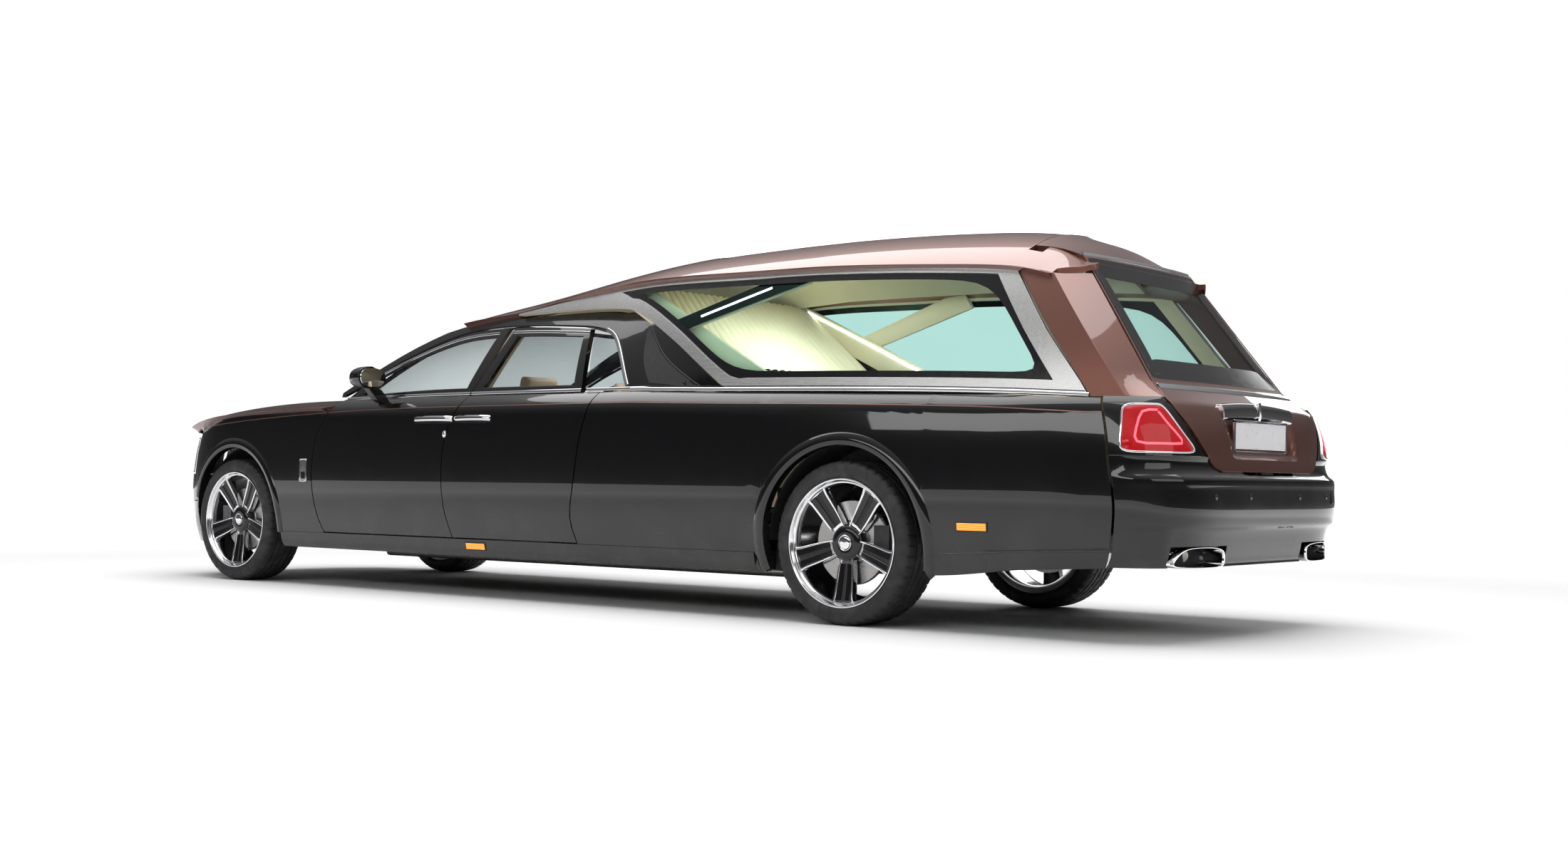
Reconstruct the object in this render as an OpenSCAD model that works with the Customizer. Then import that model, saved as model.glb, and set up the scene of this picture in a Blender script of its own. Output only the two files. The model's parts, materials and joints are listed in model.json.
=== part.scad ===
// Hearse built on a stretched limousine: two cab doors a side, a glazed load bay and a top hinged tailgate.
// Lengths are in millimetres, +X forward, +Y left, +Z up. Stations are measured from the rear axle, and
// car() then shifts the whole vehicle so that its origin is on the ground under the middle of its length.

/* [Overall] */
// Distance between the axles
wheelbase = 4500; // [4200:10:5200]
// Front axle to the nose
front_overhang = 880; // [840:5:960]
// Rear axle to the tail
rear_overhang = 1570; // [1500:5:1700]
// Width of the body without its mirrors
body_w = 1948; // [1800:4:2100]
// Height of the roof's highest line
roof_h = 1805; // [1700:5:2000]

/* [Body] */
// Height of the glass sill along the cab
belt_h = 1060; // [1020:5:1090]
// Height of the door bottoms
door_low = 312; // [290:2:340]
// Depth of the sill below the doors
sill_d = 96; // [70:2:120]
// Thickness of a whole door below its glass
door_t = 90; // [60:5:110]
// Thickness of the window frames and of the roof
frame_t = 42; // [30:2:50]
// Thickness of the wings, bumpers and side walls
wall_t = 46; // [30:2:60]
// Thickness of the panes
glass_t = 6; // [4:0.5:8]
// Gap between a door, lid or tailgate and the body
gap = 6; // [5:0.5:8]

/* [Wheels] */
// Radius of the tyres
tyre_r = 362; // [340:1:380]
// Width of the tyres
tyre_w = 255; // [225:5:285]
// Radius of the rims
rim_r = 285; // [250:1:295]
// Distance between the front wheels' centres
track_front = 1620; // [1560:5:1640]
// Distance between the rear wheels' centres
track_rear = 1660; // [1560:5:1680]
// Radius of the wheel arches
arch_r = 432; // [405:2:450]
// Radius of the brake discs
disc_r = 187; // [150:1:205]

/* [Load bay] */
// Height of the deck that the coffin stands on
deck_h = 700; // [600:5:760]
// Width of the deck
deck_w = 1120; // [900:5:1200]
// Angle of the tailgate's glass from upright
back_angle = 36; // [25:1:42]

/* [Hidden] */
$fn = 48;

// ---- stations and lines shared by the panels ----
half_w = body_w / 2;
fa = wheelbase;
rear_axle_x = -(wheelbase + front_overhang - rear_overhang) / 2;
nose_s = fa - 100;
nose_a = front_overhang + 100;
tail_s = -700;
tail_a = rear_overhang + tail_s;
nose_end = nose_s + nose_a;
tail_end = tail_s - tail_a;
sill_low = door_low - sill_d;

// Smooth curve through a short list of [x, value] points
function slope(p, k) =
    let (a = max(0, k - 1), b = min(len(p) - 1, k + 1)) (p[b][1] - p[a][1]) / (p[b][0] - p[a][0]);
function seg(p, x, k = 0) = k >= len(p) - 2 || x < p[k + 1][0] ? k : seg(p, x, k + 1);
function curve(p, x) =
    x <= p[0][0] ? p[0][1] + (x - p[0][0]) * slope(p, 0) * 0 :
    x >= p[len(p) - 1][0] ? p[len(p) - 1][1] :
    let (k = seg(p, x), h = p[k + 1][0] - p[k][0], t = (x - p[k][0]) / h,
         m0 = slope(p, k) * h, m1 = slope(p, k + 1) * h, t2 = t * t, t3 = t2 * t)
    (2 * t3 - 3 * t2 + 1) * p[k][1] + (t3 - 2 * t2 + t) * m0 + (3 * t2 - 2 * t3) * p[k + 1][1] + (t3 - t2) * m1;
function lerp(a, b, t) = a + (b - a) * t;
function steps(a, b, n) = [for (i = [0:n]) lerp(a, b, i / n)];
function unit(v) = v / norm(v);

// Height of the belt, which falls towards the tail
function belt(x) = belt_h + curve([[tail_s - 560, -85], [-700, -55], [0, -32], [700, -16], [1300, 0]], x);
// Height of the sill's lower edge and of the panels above it, which rise towards the tail
function sill_z(x) = sill_low + curve([[-1500, 92], [-900, 62], [-500, 24], [300, 0]], x);
function skirt_z(x) = door_low - gap + curve([[-1500, 62], [-900, 40], [-500, 16], [300, 0]], x);

// Half width of the lower body along its length and up its height
function plan(x) = 1 - 0.035 * pow((x - 1500) / 3300, 4);
function section(z) =
    z < 600 ? 1 - 0.06 * pow((600 - z) / 400, 2) :
    1 - 0.03 * pow((z - 600) / 400, 2) - 0.055 * pow(max(0, z - 975) / 85, 2);
// The falling belt is carried by a section whose heights are stretched to meet it
function belt_drop(x, z) = z < 600 ? 0 : (belt_h - belt(x)) * min(1, (z - 600) / 400);
function side_y(x, z) = half_w * plan(x) * section(z + belt_drop(x, z));

// Depth of the nose and of the tail behind their rounding stations, by height
function nose_reach(z) = nose_a - curve([[200, 40], [330, 6], [450, 0], [600, 14], [760, 50], [900, 120], [1000, 210]], z);
function tail_reach(z) = tail_a - curve([[250, 100], [330, 40], [480, 4], [560, 0], [640, 14], [700, 34], [800, 52], [900, 82], [980, 120], [1060, 190]], z);
function round_r(a, n) = pow(pow(abs(cos(a)), n) + pow(abs(sin(a)), n), -1 / n);

// Exponents of the rounding in plan, and the share of it that stations follow in step with X
nose_n = 3;
nose_f = 0.62;
tail_n = 5.5;
tail_f = 0.7;
function round_at(f, n, f0) =
    f <= f0 ? [f, pow(1 - pow(max(0, f), n), 1 / n)] :
    let (a0 = atan2(f0, pow(1 - pow(f0, n), 1 / n)), a = a0 + (90 - a0) * (min(1, f) - f0) / (1 - f0), r = round_r(a, n))
    [r * sin(a), r * cos(a)];
// Station of the shut line between the side panels and the tail pieces
tail_shut = tail_s - 610;
// A point of the lower body's skin on the left side, by station and height
function skin(s, z) =
    s > nose_s ? let (c = round_at((s - nose_s) / nose_a, nose_n, nose_f))
        [nose_s + nose_reach(z) * c[0], side_y(nose_s, z) * c[1], z] :
    s < tail_s ? let (c = round_at((tail_s - s) / tail_a, tail_n, tail_f))
        [tail_s - tail_reach(z) * c[0], side_y(tail_s, z) * c[1], z] :
    [s, side_y(s, z), z];
function skin_out(s, z) =
    let (a = skin(s + 2, z) - skin(s - 2, z), b = skin(s, z + 2) - skin(s, z - 2)) unit(cross(b, a));
function skin_in(s, z, t) = skin(s, z) - t * skin_out(s, z);

// The bay's upper side, which leans in and narrows towards the tail
bay_low_y = half_w - 92;
function bay_y(x, z) =
    bay_low_y - curve([[-1350, 62], [-900, 26], [-300, 4], [400, 0], [1300, 6], [2300, 46]], x)
    - 0.2 * (z - belt_h) - 60 * pow(max(0, z - 1100) / 500, 2);
// The cab's upper side, which leans in more
function cab_y(x, z) =
    let (h = max(0, z - belt_h) / 400) half_w - 92 - curve([[800, 30], [1500, 0], [fa - 2000, 0], [fa - 1000, 14], [fa - 700, 30]], x) - 150 * h - 40 * h * h;

// The cab's side runs into the bay's side behind the rear doors
function upper_y(x, z) = lerp(bay_y(x, z), cab_y(x, z), max(0, min(1, (x - 700) / 850)));

// Height lines of the upper body
function door_top(x) =
    curve([[fa - 3150, belt_h + 5], [fa - 2980, belt_h + 250], [fa - 2860, belt_h + 318], [fa - 2600, belt_h + 350],
           [fa - 2160, belt_h + 368], [fa - 1800, belt_h + 345], [fa - 1450, belt_h + 240],
           [fa - 1100, belt_h + 90], [fa - 950, belt_h + 14]], x);
function rail_top(x) =
    curve([[fa - 3150, belt_h + 360], [fa - 2980, belt_h + 405], [fa - 2600, belt_h + 440],
           [fa - 2170, belt_h + 440], [fa - 1800, belt_h + 400], [fa - 1450, belt_h + 290],
           [fa - 1100, belt_h + 130], [fa - 900, belt_h + 30]], x);
roof_drop = 42;
function roof_mid(x) =
    roof_h - curve([[-960, 190], [-800, 90], [-600, 42], [-200, 12], [300, 0], [700, 4], [fa - 3200, 32],
                    [fa - 2500, 125], [fa - 2000, 205], [fa - 1500, 325]], x);
function roof_edge(x) =
    curve([[-960, belt_h + 430], [-740, belt_h + 484], [-300, belt_h + 522], [240, belt_h + 550], [700, belt_h + 556], [1270, belt_h + 560],
           [fa - 2930, belt_h + 540], [fa - 2220, belt_h + 448], [fa - 1800, belt_h + 405], [fa - 1500, belt_h + 318]], x);
function roof_edge_y(x) =
    curve([[-960, bay_y(-960, roof_edge(-960))], [-740, bay_y(-740, roof_edge(-740))], [240, bay_y(240, roof_edge(240))], [1270, bay_y(1270, roof_edge(1270))],
           [fa - 2700, (bay_y(1700, 1560) + cab_y(1700, 1500)) / 2], [fa - 2200, cab_y(2300, rail_top(2300))], [fa - 1500, cab_y(fa - 1500, rail_top(fa - 1500))]], x);

// ---- building blocks ----
function open_cell(i, j, skip) = len([for (r = skip) if (i >= r[0] && i < r[1] && j >= r[2] && j < r[3]) 1]) > 0;
function has(kept, i, j) = i >= 0 && j >= 0 && i < len(kept) && j < len(kept[0]) && kept[i][j];
function quad(a, b, c, d) = [[a, b, c], [a, c, d]];

// A closed slab between two grids of points. skip lists the cell ranges [i0, i1, j0, j1] that stay open.
module slab(outer, inner, skip = []) {
    m = len(outer);
    n = len(outer[0]);
    far = m * n;
    kept = [for (i = [0:m - 2]) [for (j = [0:n - 2]) !open_cell(i, j, skip)]];
    faces = [for (i = [0:m - 2]) for (j = [0:n - 2]) if (kept[i][j])
        let (a = i * n + j, b = a + 1, d = a + n, c = d + 1)
        each concat(
            quad(a, d, c, b), quad(far + a, far + b, far + c, far + d),
            has(kept, i, j - 1) ? [] : quad(d, a, far + a, far + d),
            has(kept, i, j + 1) ? [] : quad(b, c, far + c, far + b),
            has(kept, i - 1, j) ? [] : quad(a, b, far + b, far + a),
            has(kept, i + 1, j) ? [] : quad(c, d, far + d, far + c))];
    points = concat([for (row = outer) each row], [for (row = inner) each row]);
    polyhedron(points, faces, convexity = 6);
}

module car() translate([rear_axle_x, 0, 0]) children();
module both() { children(); mirror([0, 1, 0]) children(); }
module on_left(left) { if (left) children(); else mirror([0, 1, 0]) children(); }

// A panel of the lower skin. s and z are grids of stations and heights.
module skin_panel(s, z, t, skip = []) {
    m = len(s) - 1;
    n = len(z[0]) - 1;
    slab([for (i = [0:m]) [for (j = [0:n]) skin(s[i][j], z[i][j])]],
         [for (i = [0:m]) [for (j = [0:n]) skin_in(s[i][j], z[i][j], t)]], skip);
}

// ---- lower body ----
// The shut lines of the doors: station by height
function shut_front(z) = fa - 790 + curve([[door_low, -85], [400, -42], [560, -6], [700, 0], [860, -28], [980, -105], [belt_h, -190]], z);
function shut_mid(z) = fa - 1900 + curve([[door_low, -62], [450, -20], [620, 0], [800, -8], [930, -50], [1010, -100], [belt_h, -120], [belt_h + 370, -325]], z);
function shut_rear(z) = fa - 2870 + curve([[door_low, -10], [430, 22], [600, -4], [850, -40], [1000, -82], [belt_h, -100]], z);

function arch_z(x, cx, r) = abs(x - cx) >= r ? 0 : tyre_r + sqrt(r * r - pow(x - cx, 2));
// Stations that follow an arch evenly
function arch_s(cx, r, n) = [for (k = [0:n]) cx - r * cos(180 * k / n)];

module front_wing() {
    arch = arch_s(fa, arch_r, 12);
    base = concat([for (k = [0:3]) lerp(fa - 790, fa - arch_r - 4, k / 3)], [for (x = arch) x], [fa + arch_r + 4, fa + arch_r + 60]);
    last = len(base) - 1;
    v = [for (k = [0:7]) k == 7 ? 1 : door_rows[k] * (belt_h - door_low) / (wing_top(fa - 790) - door_low)];
    function low_z(x) = max(skirt_z(x), x > fa + arch_r ? 470 : 0, arch_z(x, fa, arch_r));
    z = [for (i = [0:last]) let (b = low_z(base[i]), t = wing_top(base[i])) [for (k = v) lerp(b, t, k)]];
    s = [for (i = [0:last]) [for (k = [0:len(v) - 1])
        base[i] + (i < 3 ? (shut_front(z[i][k]) + gap + (k > 4 ? 12 : 4) - (fa - 790)) * (1 - i / 3) : 0)]];
    skin_panel(s, z, wall_t);
}

module front_wings() color("black") both() front_wing();

module sill() {
    x = concat(steps(arch_r + 63, fa - 3000, 4), steps(fa - 2600, fa - arch_r - 20, 4));
    slab([for (s = x) [for (z = [sill_low, sill_low + 25, door_low - gap]) [s, side_y(s, z) - (z < sill_low + 10 ? 12 : 0), z]]],
         [for (s = x) [for (z = [sill_low, sill_low + 25, door_low - gap]) [s, half_w - 200, z]]]);
}
module sills() color("black") both() sill();

module side_panel() {
    arch = arch_s(0, arch_r, 14);
    front = fa - 2870;
    behind = [-arch_r - 50, -arch_r - 150, tail_s - 60, tail_s - 210, tail_shut + gap];
    x = concat([for (k = [4:-1:0]) behind[k]], arch, [arch_r + 60, 650, 950, 1250, front]);
    last = len(x) - 1;
    v = door_rows;
    z = [for (i = [0:last])
        let (b = max(x[i] > 440 ? skirt_z(x[i]) : sill_z(x[i]), arch_z(x[i], 0, arch_r)), t = belt(x[i]))
        [for (k = v) lerp(b, t, k)]];
    s = [for (i = [0:last]) [for (k = [0:len(v) - 1])
        x[i] + (i > last - 3 ? (shut_rear(z[i][k]) - gap - front) * (i - last + 3) / 3 : 0)]];
    skin_panel(s, z, wall_t);
}
module side_panels() color("black") both() side_panel();

// ---- doors ----
// A point of a door's face above or below the belt
function cab_pt(x, z) = z <= belt_h ? skin(x, z) : [x, min(side_y(x, belt_h), upper_y(x, z)), z];
function door_in(x, z, t) = [x, cab_pt(x, z)[1] - t, z];

// A door's face as columns of [x, z]: rows below the belt, then rows of the window frame.
// line_f and line_r are its edges below the belt, feet and tops the front and rear corners of its frame.
door_rows = [0, 0.1, 0.24, 0.4, 0.56, 0.72, 0.85, 0.92, 0.965, 1];
frame_rows = [0.004, 0.1, 0.48, 0.88, 1];
first_pane_row = len(door_rows) + 1;
function door_grid(line_f, line_r, feet, tops, columns) = [for (c = columns) concat(
    [for (r = door_rows) let (z = lerp(door_low, belt_h, r)) [lerp(line_r(z), line_f(z), c), z]],
    let (x0 = lerp(feet[1], feet[0], c), x1 = lerp(tops[1], tops[0], c), z1 = door_top(x1) - gap)
        [for (w = frame_rows) [lerp(x0, x1, w), lerp(belt_h, z1, w)]])];
front_door_grid = door_grid(function (z) shut_front(z), function (z) shut_mid(z) + gap / 2,
    [shut_front(belt_h), shut_mid(belt_h) + gap / 2], [fa - 1130, fa - 2140], [0, 0.05, 0.3, 0.55, 0.78, 0.92, 1]);
rear_door_grid = door_grid(function (z) shut_mid(z) - gap / 2, function (z) shut_rear(z),
    [shut_mid(belt_h) - gap / 2, fa - 2842], [fa - 2200, fa - 2760], [0, 0.07, 0.35, 0.6, 0.93, 1]);

module door(grid) {
    last = len(grid) - 1;
    slab([for (col = grid) [for (p = col) cab_pt(p[0], p[1])]],
         [for (k = [0:last]) [for (p = grid[k])
            let (t = p[1] < belt_h - 70 ? door_t : frame_t, e = (k == 0 ? 1 : k == last ? -1 : 0) * 14)
            [p[0] + e, cab_pt(p[0], p[1])[1] - t, p[1]]]],
         [[1, last - 1, first_pane_row, first_pane_row + 2]]);
}
// The pane that fills a door's opening, a seat's clearance inside its edges
seat_gap = 0.3;
module door_glass(grid) {
    last = len(grid) - 2;
    pts = [for (k = [1:last]) [for (j = [0:2]) let (p = grid[k][first_pane_row + j])
        [p[0] + (k == 1 ? 1 : k == last ? -1 : 0) * seat_gap, p[1] + (1 - j) * seat_gap]]];
    slab([for (col = pts) [for (p = col) cab_pt(p[0], p[1]) - [0, 14, 0]]],
         [for (col = pts) [for (p = col) cab_pt(p[0], p[1]) - [0, 14 + glass_t, 0]]]);
}
module front_door_left() color("black") door(front_door_grid);
module front_door_right() color("black") mirror([0, 1, 0]) door(front_door_grid);
module rear_door_left() color("black") door(rear_door_grid);
module rear_door_right() color("black") mirror([0, 1, 0]) door(rear_door_grid);
module front_door_glass_left() color("lightcyan", 0.4) door_glass(front_door_grid);
module front_door_glass_right() color("lightcyan", 0.4) mirror([0, 1, 0]) door_glass(front_door_grid);
module rear_door_glass_left() color("dimgray", 0.5) door_glass(rear_door_grid);
module rear_door_glass_right() color("dimgray", 0.5) mirror([0, 1, 0]) door_glass(rear_door_grid);

// ---- mirrors ----
mirror_x = fa - 1330;
mirror_z = belt_h + 105;
door_row_z = lerp(door_low, belt_h, 0.965);
module mirror_side() {
    translate([mirror_x, 0, 0]) {
        hull() {
            translate([40, half_w + 60, mirror_z]) scale([1, 1, 0.9]) sphere(r = 62, $fn = 20);
            translate([-45, half_w + 70, mirror_z + 8]) rotate([0, 90, 0]) cylinder(r = 70, h = 12, $fn = 20);
            translate([-30, half_w - 5, mirror_z - 6]) sphere(r = 48, $fn = 20);
        }
        y1 = side_y(mirror_x, door_row_z) + seat_gap;
        y2 = side_y(mirror_x, belt_h) + seat_gap;
        translate([24, 0, 0]) rotate([0, -90, 0]) linear_extrude(48)
            polygon([[door_row_z, y1], [belt_h, y2], [mirror_z - 50, half_w - 20], [mirror_z - 50, half_w + 40],
                     [belt_h - 10, half_w - 30]]);
    }
}
module mirror_left() color("black") mirror_side();
module mirror_right() color("black") mirror([0, 1, 0]) mirror_side();

// ---- nose ----
wing_end = fa + arch_r + 60;
lamp_low = 640;
nose_top = 850;
function wing_top(s) = curve([[fa - 980, 1010], [fa - 500, 1000], [fa, 982], [fa + 300, 950], [fa + 600, 890]], s);
// A point of the nose's skin by a signed share from the left end (1) over the tip (0) to the right end (-1)
function round_pt(u, s_end, tip, z) = let (p = skin(lerp(tip, s_end(z), abs(u)), z)) [p[0], sign(u) * p[1], z];
function round_in(u, s_end, tip, z, t) =
    let (p = skin_in(lerp(tip, s_end(z), abs(u)), z, t)) [p[0], u == 0 ? 0 : sign(u) * p[1], z];
module round_panel(us, zs, s_end, tip, t, skip = []) {
    slab([for (u = us) [for (z = zs) round_pt(u, s_end, tip, z)]],
         [for (u = us) [for (z = zs) round_in(u, s_end, tip, z, t)]], skip);
}
function bumper_end(z) = z > 470 - gap ? wing_end + gap : fa + arch_r + 4;
module front_bumper() color("black") {
    us = [-1, -0.9, -0.75, -0.62, -0.5, -0.34, -0.17, 0, 0.17, 0.34, 0.5, 0.62, 0.75, 0.9, 1];
    zs = [sill_low, 260, 330, 400, 469 - gap, 471 - gap, 560, lamp_low - gap - 2.2];
    round_panel([for (k = [len(us) - 1:-1:0]) us[k]], zs, function (z) bumper_end(z), nose_end, wall_t,
        [[4, 10, 3, 7]]);
}
grille_us = [0.47, 0.38, 0.285, 0.19, 0.095, 0, -0.095, -0.19, -0.285, -0.38, -0.47];
module grille() color("silver") {
    zs = [400.6, 424, 500, 516, 592, 608, 684, 700, 776, 792, nose_top - gap - 20, nose_top - gap];
    open_rows = [1, 3, 5, 7, 9];
    round_panel([for (u = grille_us) each [u + 0.012, u - 0.012]], zs, function (z) wing_end + gap, nose_end - 1,
        30, [for (k = [0:9]) for (r = open_rows) [2 * k + 1, 2 * k + 2, r, r + 1]]);
}
module headlamps() color("white", 0.6) both() {
    us = [0.99, 0.9, 0.8, 0.7, 0.6, 0.53];
    s = [for (u = us) lerp(nose_end, wing_end + gap, u)];
    top = [for (x = s) min(wing_top(x), 880) - gap];
    skin_panel([for (k = [5:-1:0]) [for (v = [0:4]) s[k]]],
               [for (k = [5:-1:0]) [for (v = [0:4]) lerp(lamp_low, top[k] - 20, v / 4)]], 60);
}

// ---- bonnet ----
bonnet_rear = fa - 860;
// Station where the bonnet's side edge turns into its front edge
bonnet_corner = fa + 560;
function bonnet_side(t) = skin(lerp(bonnet_rear, bonnet_corner, t), wing_top(lerp(bonnet_rear, bonnet_corner, t)));
function bonnet_pt(v, t) =
    let (e = bonnet_side(t), c = bonnet_side(1), y0 = side_y(nose_s, 870),
         tip = nose_s + nose_reach(870) * pow(1 - pow(abs(v) * c[1] / y0, nose_n), 1 / nose_n),
         rear = bonnet_rear + 150 * (1 - v * v),
         crown = curve([[0, 78], [0.5, 92], [0.85, 60], [1, 8]], t))
    [lerp(rear, tip, t), v * (e[1] - 2), e[2] + gap + 3 + crown * (1 - pow(abs(v), 2.4))];
// The bonnet turns on two pins behind its rear corners
bonnet_pin = [fa - 868, belt_h - 48];
pin_r = 8;
module bonnet_lug() {
    translate([bonnet_pin[0] - 9, 762, bonnet_pin[1] - 8]) cube([107, 8, 16]);
    translate([bonnet_pin[0] + 68, 762, bonnet_pin[1] - 8]) cube([30, 8, 21]);
    translate([bonnet_pin[0], 762, bonnet_pin[1]]) rotate([-90, 0, 0]) cylinder(r = pin_r, h = 36);
}
module bonnet_bracket() {
    difference() {
        translate([bonnet_pin[0] - 16, 774, post_top]) cube([36, 26, 26]);
        translate([bonnet_pin[0], 773, bonnet_pin[1]]) rotate([-90, 0, 0]) cylinder(r = pin_r + fit, h = 28);
    }
}
module bonnet() color("saddlebrown") {
    both() bonnet_lug();
    vs = [1, 0.93, 0.8, 0.6, 0.35, 0, -0.35, -0.6, -0.8, -0.93, -1];
    ts = steps(0, 1, 10);
    slab([for (t = ts) [for (v = vs) bonnet_pt(v, t)]],
         [for (t = ts) [for (v = vs) bonnet_pt(v, t) - (abs(v) == 1 ? [0, 40 * v, 3] : [t == 1 ? 20 : 0, 0, 30])]]);
}

// ---- cab ----
screen_foot = fa - 730;
screen_head = fa - 1830;
function screen_pt(v, t) =
    let (w = lerp(half_w - 215, half_w - 330, t), z0 = belt_h + 8, z1 = belt_h + 393)
    [lerp(screen_foot, screen_head, t) - 230 * v * v * (1 - 0.5 * t), v * w, lerp(z0, z1, t) + 46 * sin(180 * t) + 22 * t * (1 - v * v)];
module windscreen() color("lightcyan", 0.4) {
    vs = [-1, -0.75, -0.4, 0, 0.4, 0.75, 1];
    ts = steps(0, 1, 6);
    slab([for (t = ts) [for (v = vs) screen_pt(v, t)]], [for (t = ts) [for (v = vs) screen_pt(v, t) - [2, 0, glass_t]]]);
}

// A strip of the cab's side between two height lines
module cab_strip(xs, low, high, t) {
    slab([for (x = xs) [for (v = [0, 0.5, 1]) let (z = lerp(low(x), high(x), v)) cab_pt(x, z)]],
         [for (x = xs) [for (v = [0, 0.5, 1]) let (z = lerp(low(x), high(x), v)) cab_pt(x, z) - [0, t, 0]]]);
}
// A post inside the doors, from the sill up to the belt, with a pad that the shut door rests against
post_in = door_t + 52;
post_top = belt_h - 60;
pad_z = 700;
module post(x0, x1) {
    translate([x0, half_w - post_in - 60, door_low - gap]) cube([x1 - x0, 60, post_top - door_low + gap]);
}
module pad(x) {
    y1 = min(cab_pt(x, door_pad_rows[0])[1], cab_pt(x, door_pad_rows[1])[1]) - door_t - pad_gap;
    translate([x - 12, half_w - post_in - 1, pad_z - 40]) cube([24, y1 - half_w + post_in + 1, 50]);
}
door_pad_rows = [pad_z - 40, pad_z + 10];
pad_gap = 0.8;
// The post's upper part, leaning back behind the window frames
module pillar() {
    zs = [post_top, belt_h + 60, belt_h + 220, door_top(fa - 2200) - 3];
    function at(x, z, off) = [x, upper_y(x, max(z, belt_h + 20)) - off - (z < belt_h ? 40 : 0), z];
    function mid(z) = lerp(shut_mid(belt_h), fa - 2170, (z - belt_h) / (zs[3] - belt_h));
    slab([for (d = [-46, 46]) [for (z = zs) at(mid(z) + d, z, frame_t + 10)]],
         [for (d = [-46, 46]) [for (z = zs) at(mid(z) + d, z, frame_t + 40)]]);
}
buttress_end = 720;
rail_t = 32;
function frame_low(x) = x < fa - 3150 ? belt(x) + 2 : max(belt_h + 2, door_top(x) + 1);
function frame_high(x) = x < fa - 3000 ? max(plate_low(x) - 12, frame_low(x) + 6) :
    x < fa - 2180 ? min(rail_top(x), plate_low(x) - 12) :
    x < roof_front + 60 ? min(rail_top(x), roof_edge(x) - 13) : rail_top(x);
module cab_side() {
    cab_strip(concat(steps(buttress_end, fa - 3150, 7), steps(fa - 3090, fa - 2740, 5),
        [fa - 2600, fa - 2400, fa - 2208, fa - 2176], steps(fa - 1960, fa - 920, 6)),
        function (x) frame_low(x), function (x) frame_high(x), rail_t);
}
// The quarter window behind the rear door's frame
module quarter_pane() {
    xs = [fa - 3135, fa - 3090, fa - 3000, fa - 2930, fa - 2872];
    function pane_pt(x, v) = let (z0 = belt_h + 4, z1 = max(z0 + 4, door_top(x) - 4), z = lerp(z0, z1, v), e = (x > fa - 2880 ? 1 : 0) * v * 96)
        [x + e, upper_y(x + e, z) - 16, x > fa - 2880 ? lerp(z0, door_top(x + 96) - 4, v) : z];
    slab([for (x = xs) [for (v = [0, 0.5, 1]) pane_pt(x, v)]],
         [for (x = xs) [for (v = [0, 0.5, 1]) pane_pt(x, v) - [0, glass_t, 0]]]);
}
// The panel between the bonnet's rear edge and the windscreen
module cowl() {
    vs = [1, 0.75, 0.4, 0, -0.4, -0.75, -1];
    function rear_x(v) = screen_foot - 230 * v * v - 3.6;
    function front_x(v) = max(rear_x(v) + 40, bonnet_rear + 150 * (1 - v * v) - gap - 6);
    function at(v, t, drop) = [lerp(rear_x(v), front_x(v), t), v * (half_w - 215), belt_h + 1.4 - drop - 22 * t];
    slab([for (t = [0, 1]) [for (v = vs) at(v, t, 0)]], [for (t = [0, 1]) [for (v = vs) at(v, t, 12)]]);
}
module cab_frame() color("black") {
    both() cab_side();
    both() {
        post(fa - 1970, fa - 1850);
        pad(fa - 1940);
        pad(fa - 1870);
        pillar();
        post(fa - 3000, fa - 2810);
        pad(fa - 2840);
        post(fa - 860, firewall_x - 0.3);
        pad(fa - 845);
        bonnet_bracket();
    }
    cowl();
}

// ---- roof ----
roof_rear = -700;
roof_front = fa - 1800;
function roof_pt(x, v) = let (e = roof_edge(x), m = roof_mid(x))
    [x, v * (roof_edge_y(x) - 2), e + (m - e) * (1 - pow(abs(v), 2.5))];
module roof() color("saddlebrown") {
    xs = concat([-900, -800], steps(roof_rear, 400, 5), steps(650, roof_front, 7));
    vs = [1, 0.94, 0.8, 0.55, 0.28, 0, -0.28, -0.55, -0.8, -0.94, -1];
    slab([for (x = xs) [for (v = vs) roof_pt(x, v)]],
         [for (x = xs) [for (v = vs) roof_pt(x, v) - (abs(v) == 1 ? [0, 34 * v, 2] : [0, 8 * v, frame_t])]],
         [[0, 2, 2, 8]]);
}

// ---- glazed bay ----
function plate_low(x) = curve([[600, 0], [700, 4], [1100, belt_h + 240 - belt(700)], [1360, 398], [1480, 432], [1800, 448], [2330, 440]], x)
    + (x < 700 ? belt(x) : belt(700)) + 1;
function plate_top(x) = roof_edge(x) - 11;
plate_leg = 62;
plate_strip = 26;
plate_us = [0, 0.035, 0.14, 0.26, 0.38, 0.5, 0.57, 0.62, 0.66, 0.7, 0.755, 0.79, 0.83, 0.91, 1];
plate_last_open = 10;
plate_v = [0, 0.2, 0.5, 0.8, 1];
function plate_pt(u, j) =
    let (vr = [0, 0.111, 0.532, 0.953, 1][j], x = lerp(lerp(-1150, -735, vr), fa - 2210, u),
         a = plate_low(x), b = plate_top(x), leg = min(plate_leg, (b - a) * 0.45), strip = min(plate_strip, (b - a) * 0.3),
         z = j == 0 ? a : j == 1 ? a + leg : j == 2 ? (a + leg + b - strip) / 2 : j == 3 ? b - strip : b)
    [x, z];
function bay_pt(p, off) = [p[0], bay_y(p[0], p[1]) - off, p[1]];
module plate() {
    slab([for (u = plate_us) [for (j = [0:4]) bay_pt(plate_pt(u, j), 0)]],
         [for (u = plate_us) [for (j = [0:4]) bay_pt(plate_pt(u, j), wall_t)]], [[1, plate_last_open, 1, 3]]);
}
module window_surrounds() color("silver") both() plate();
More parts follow.
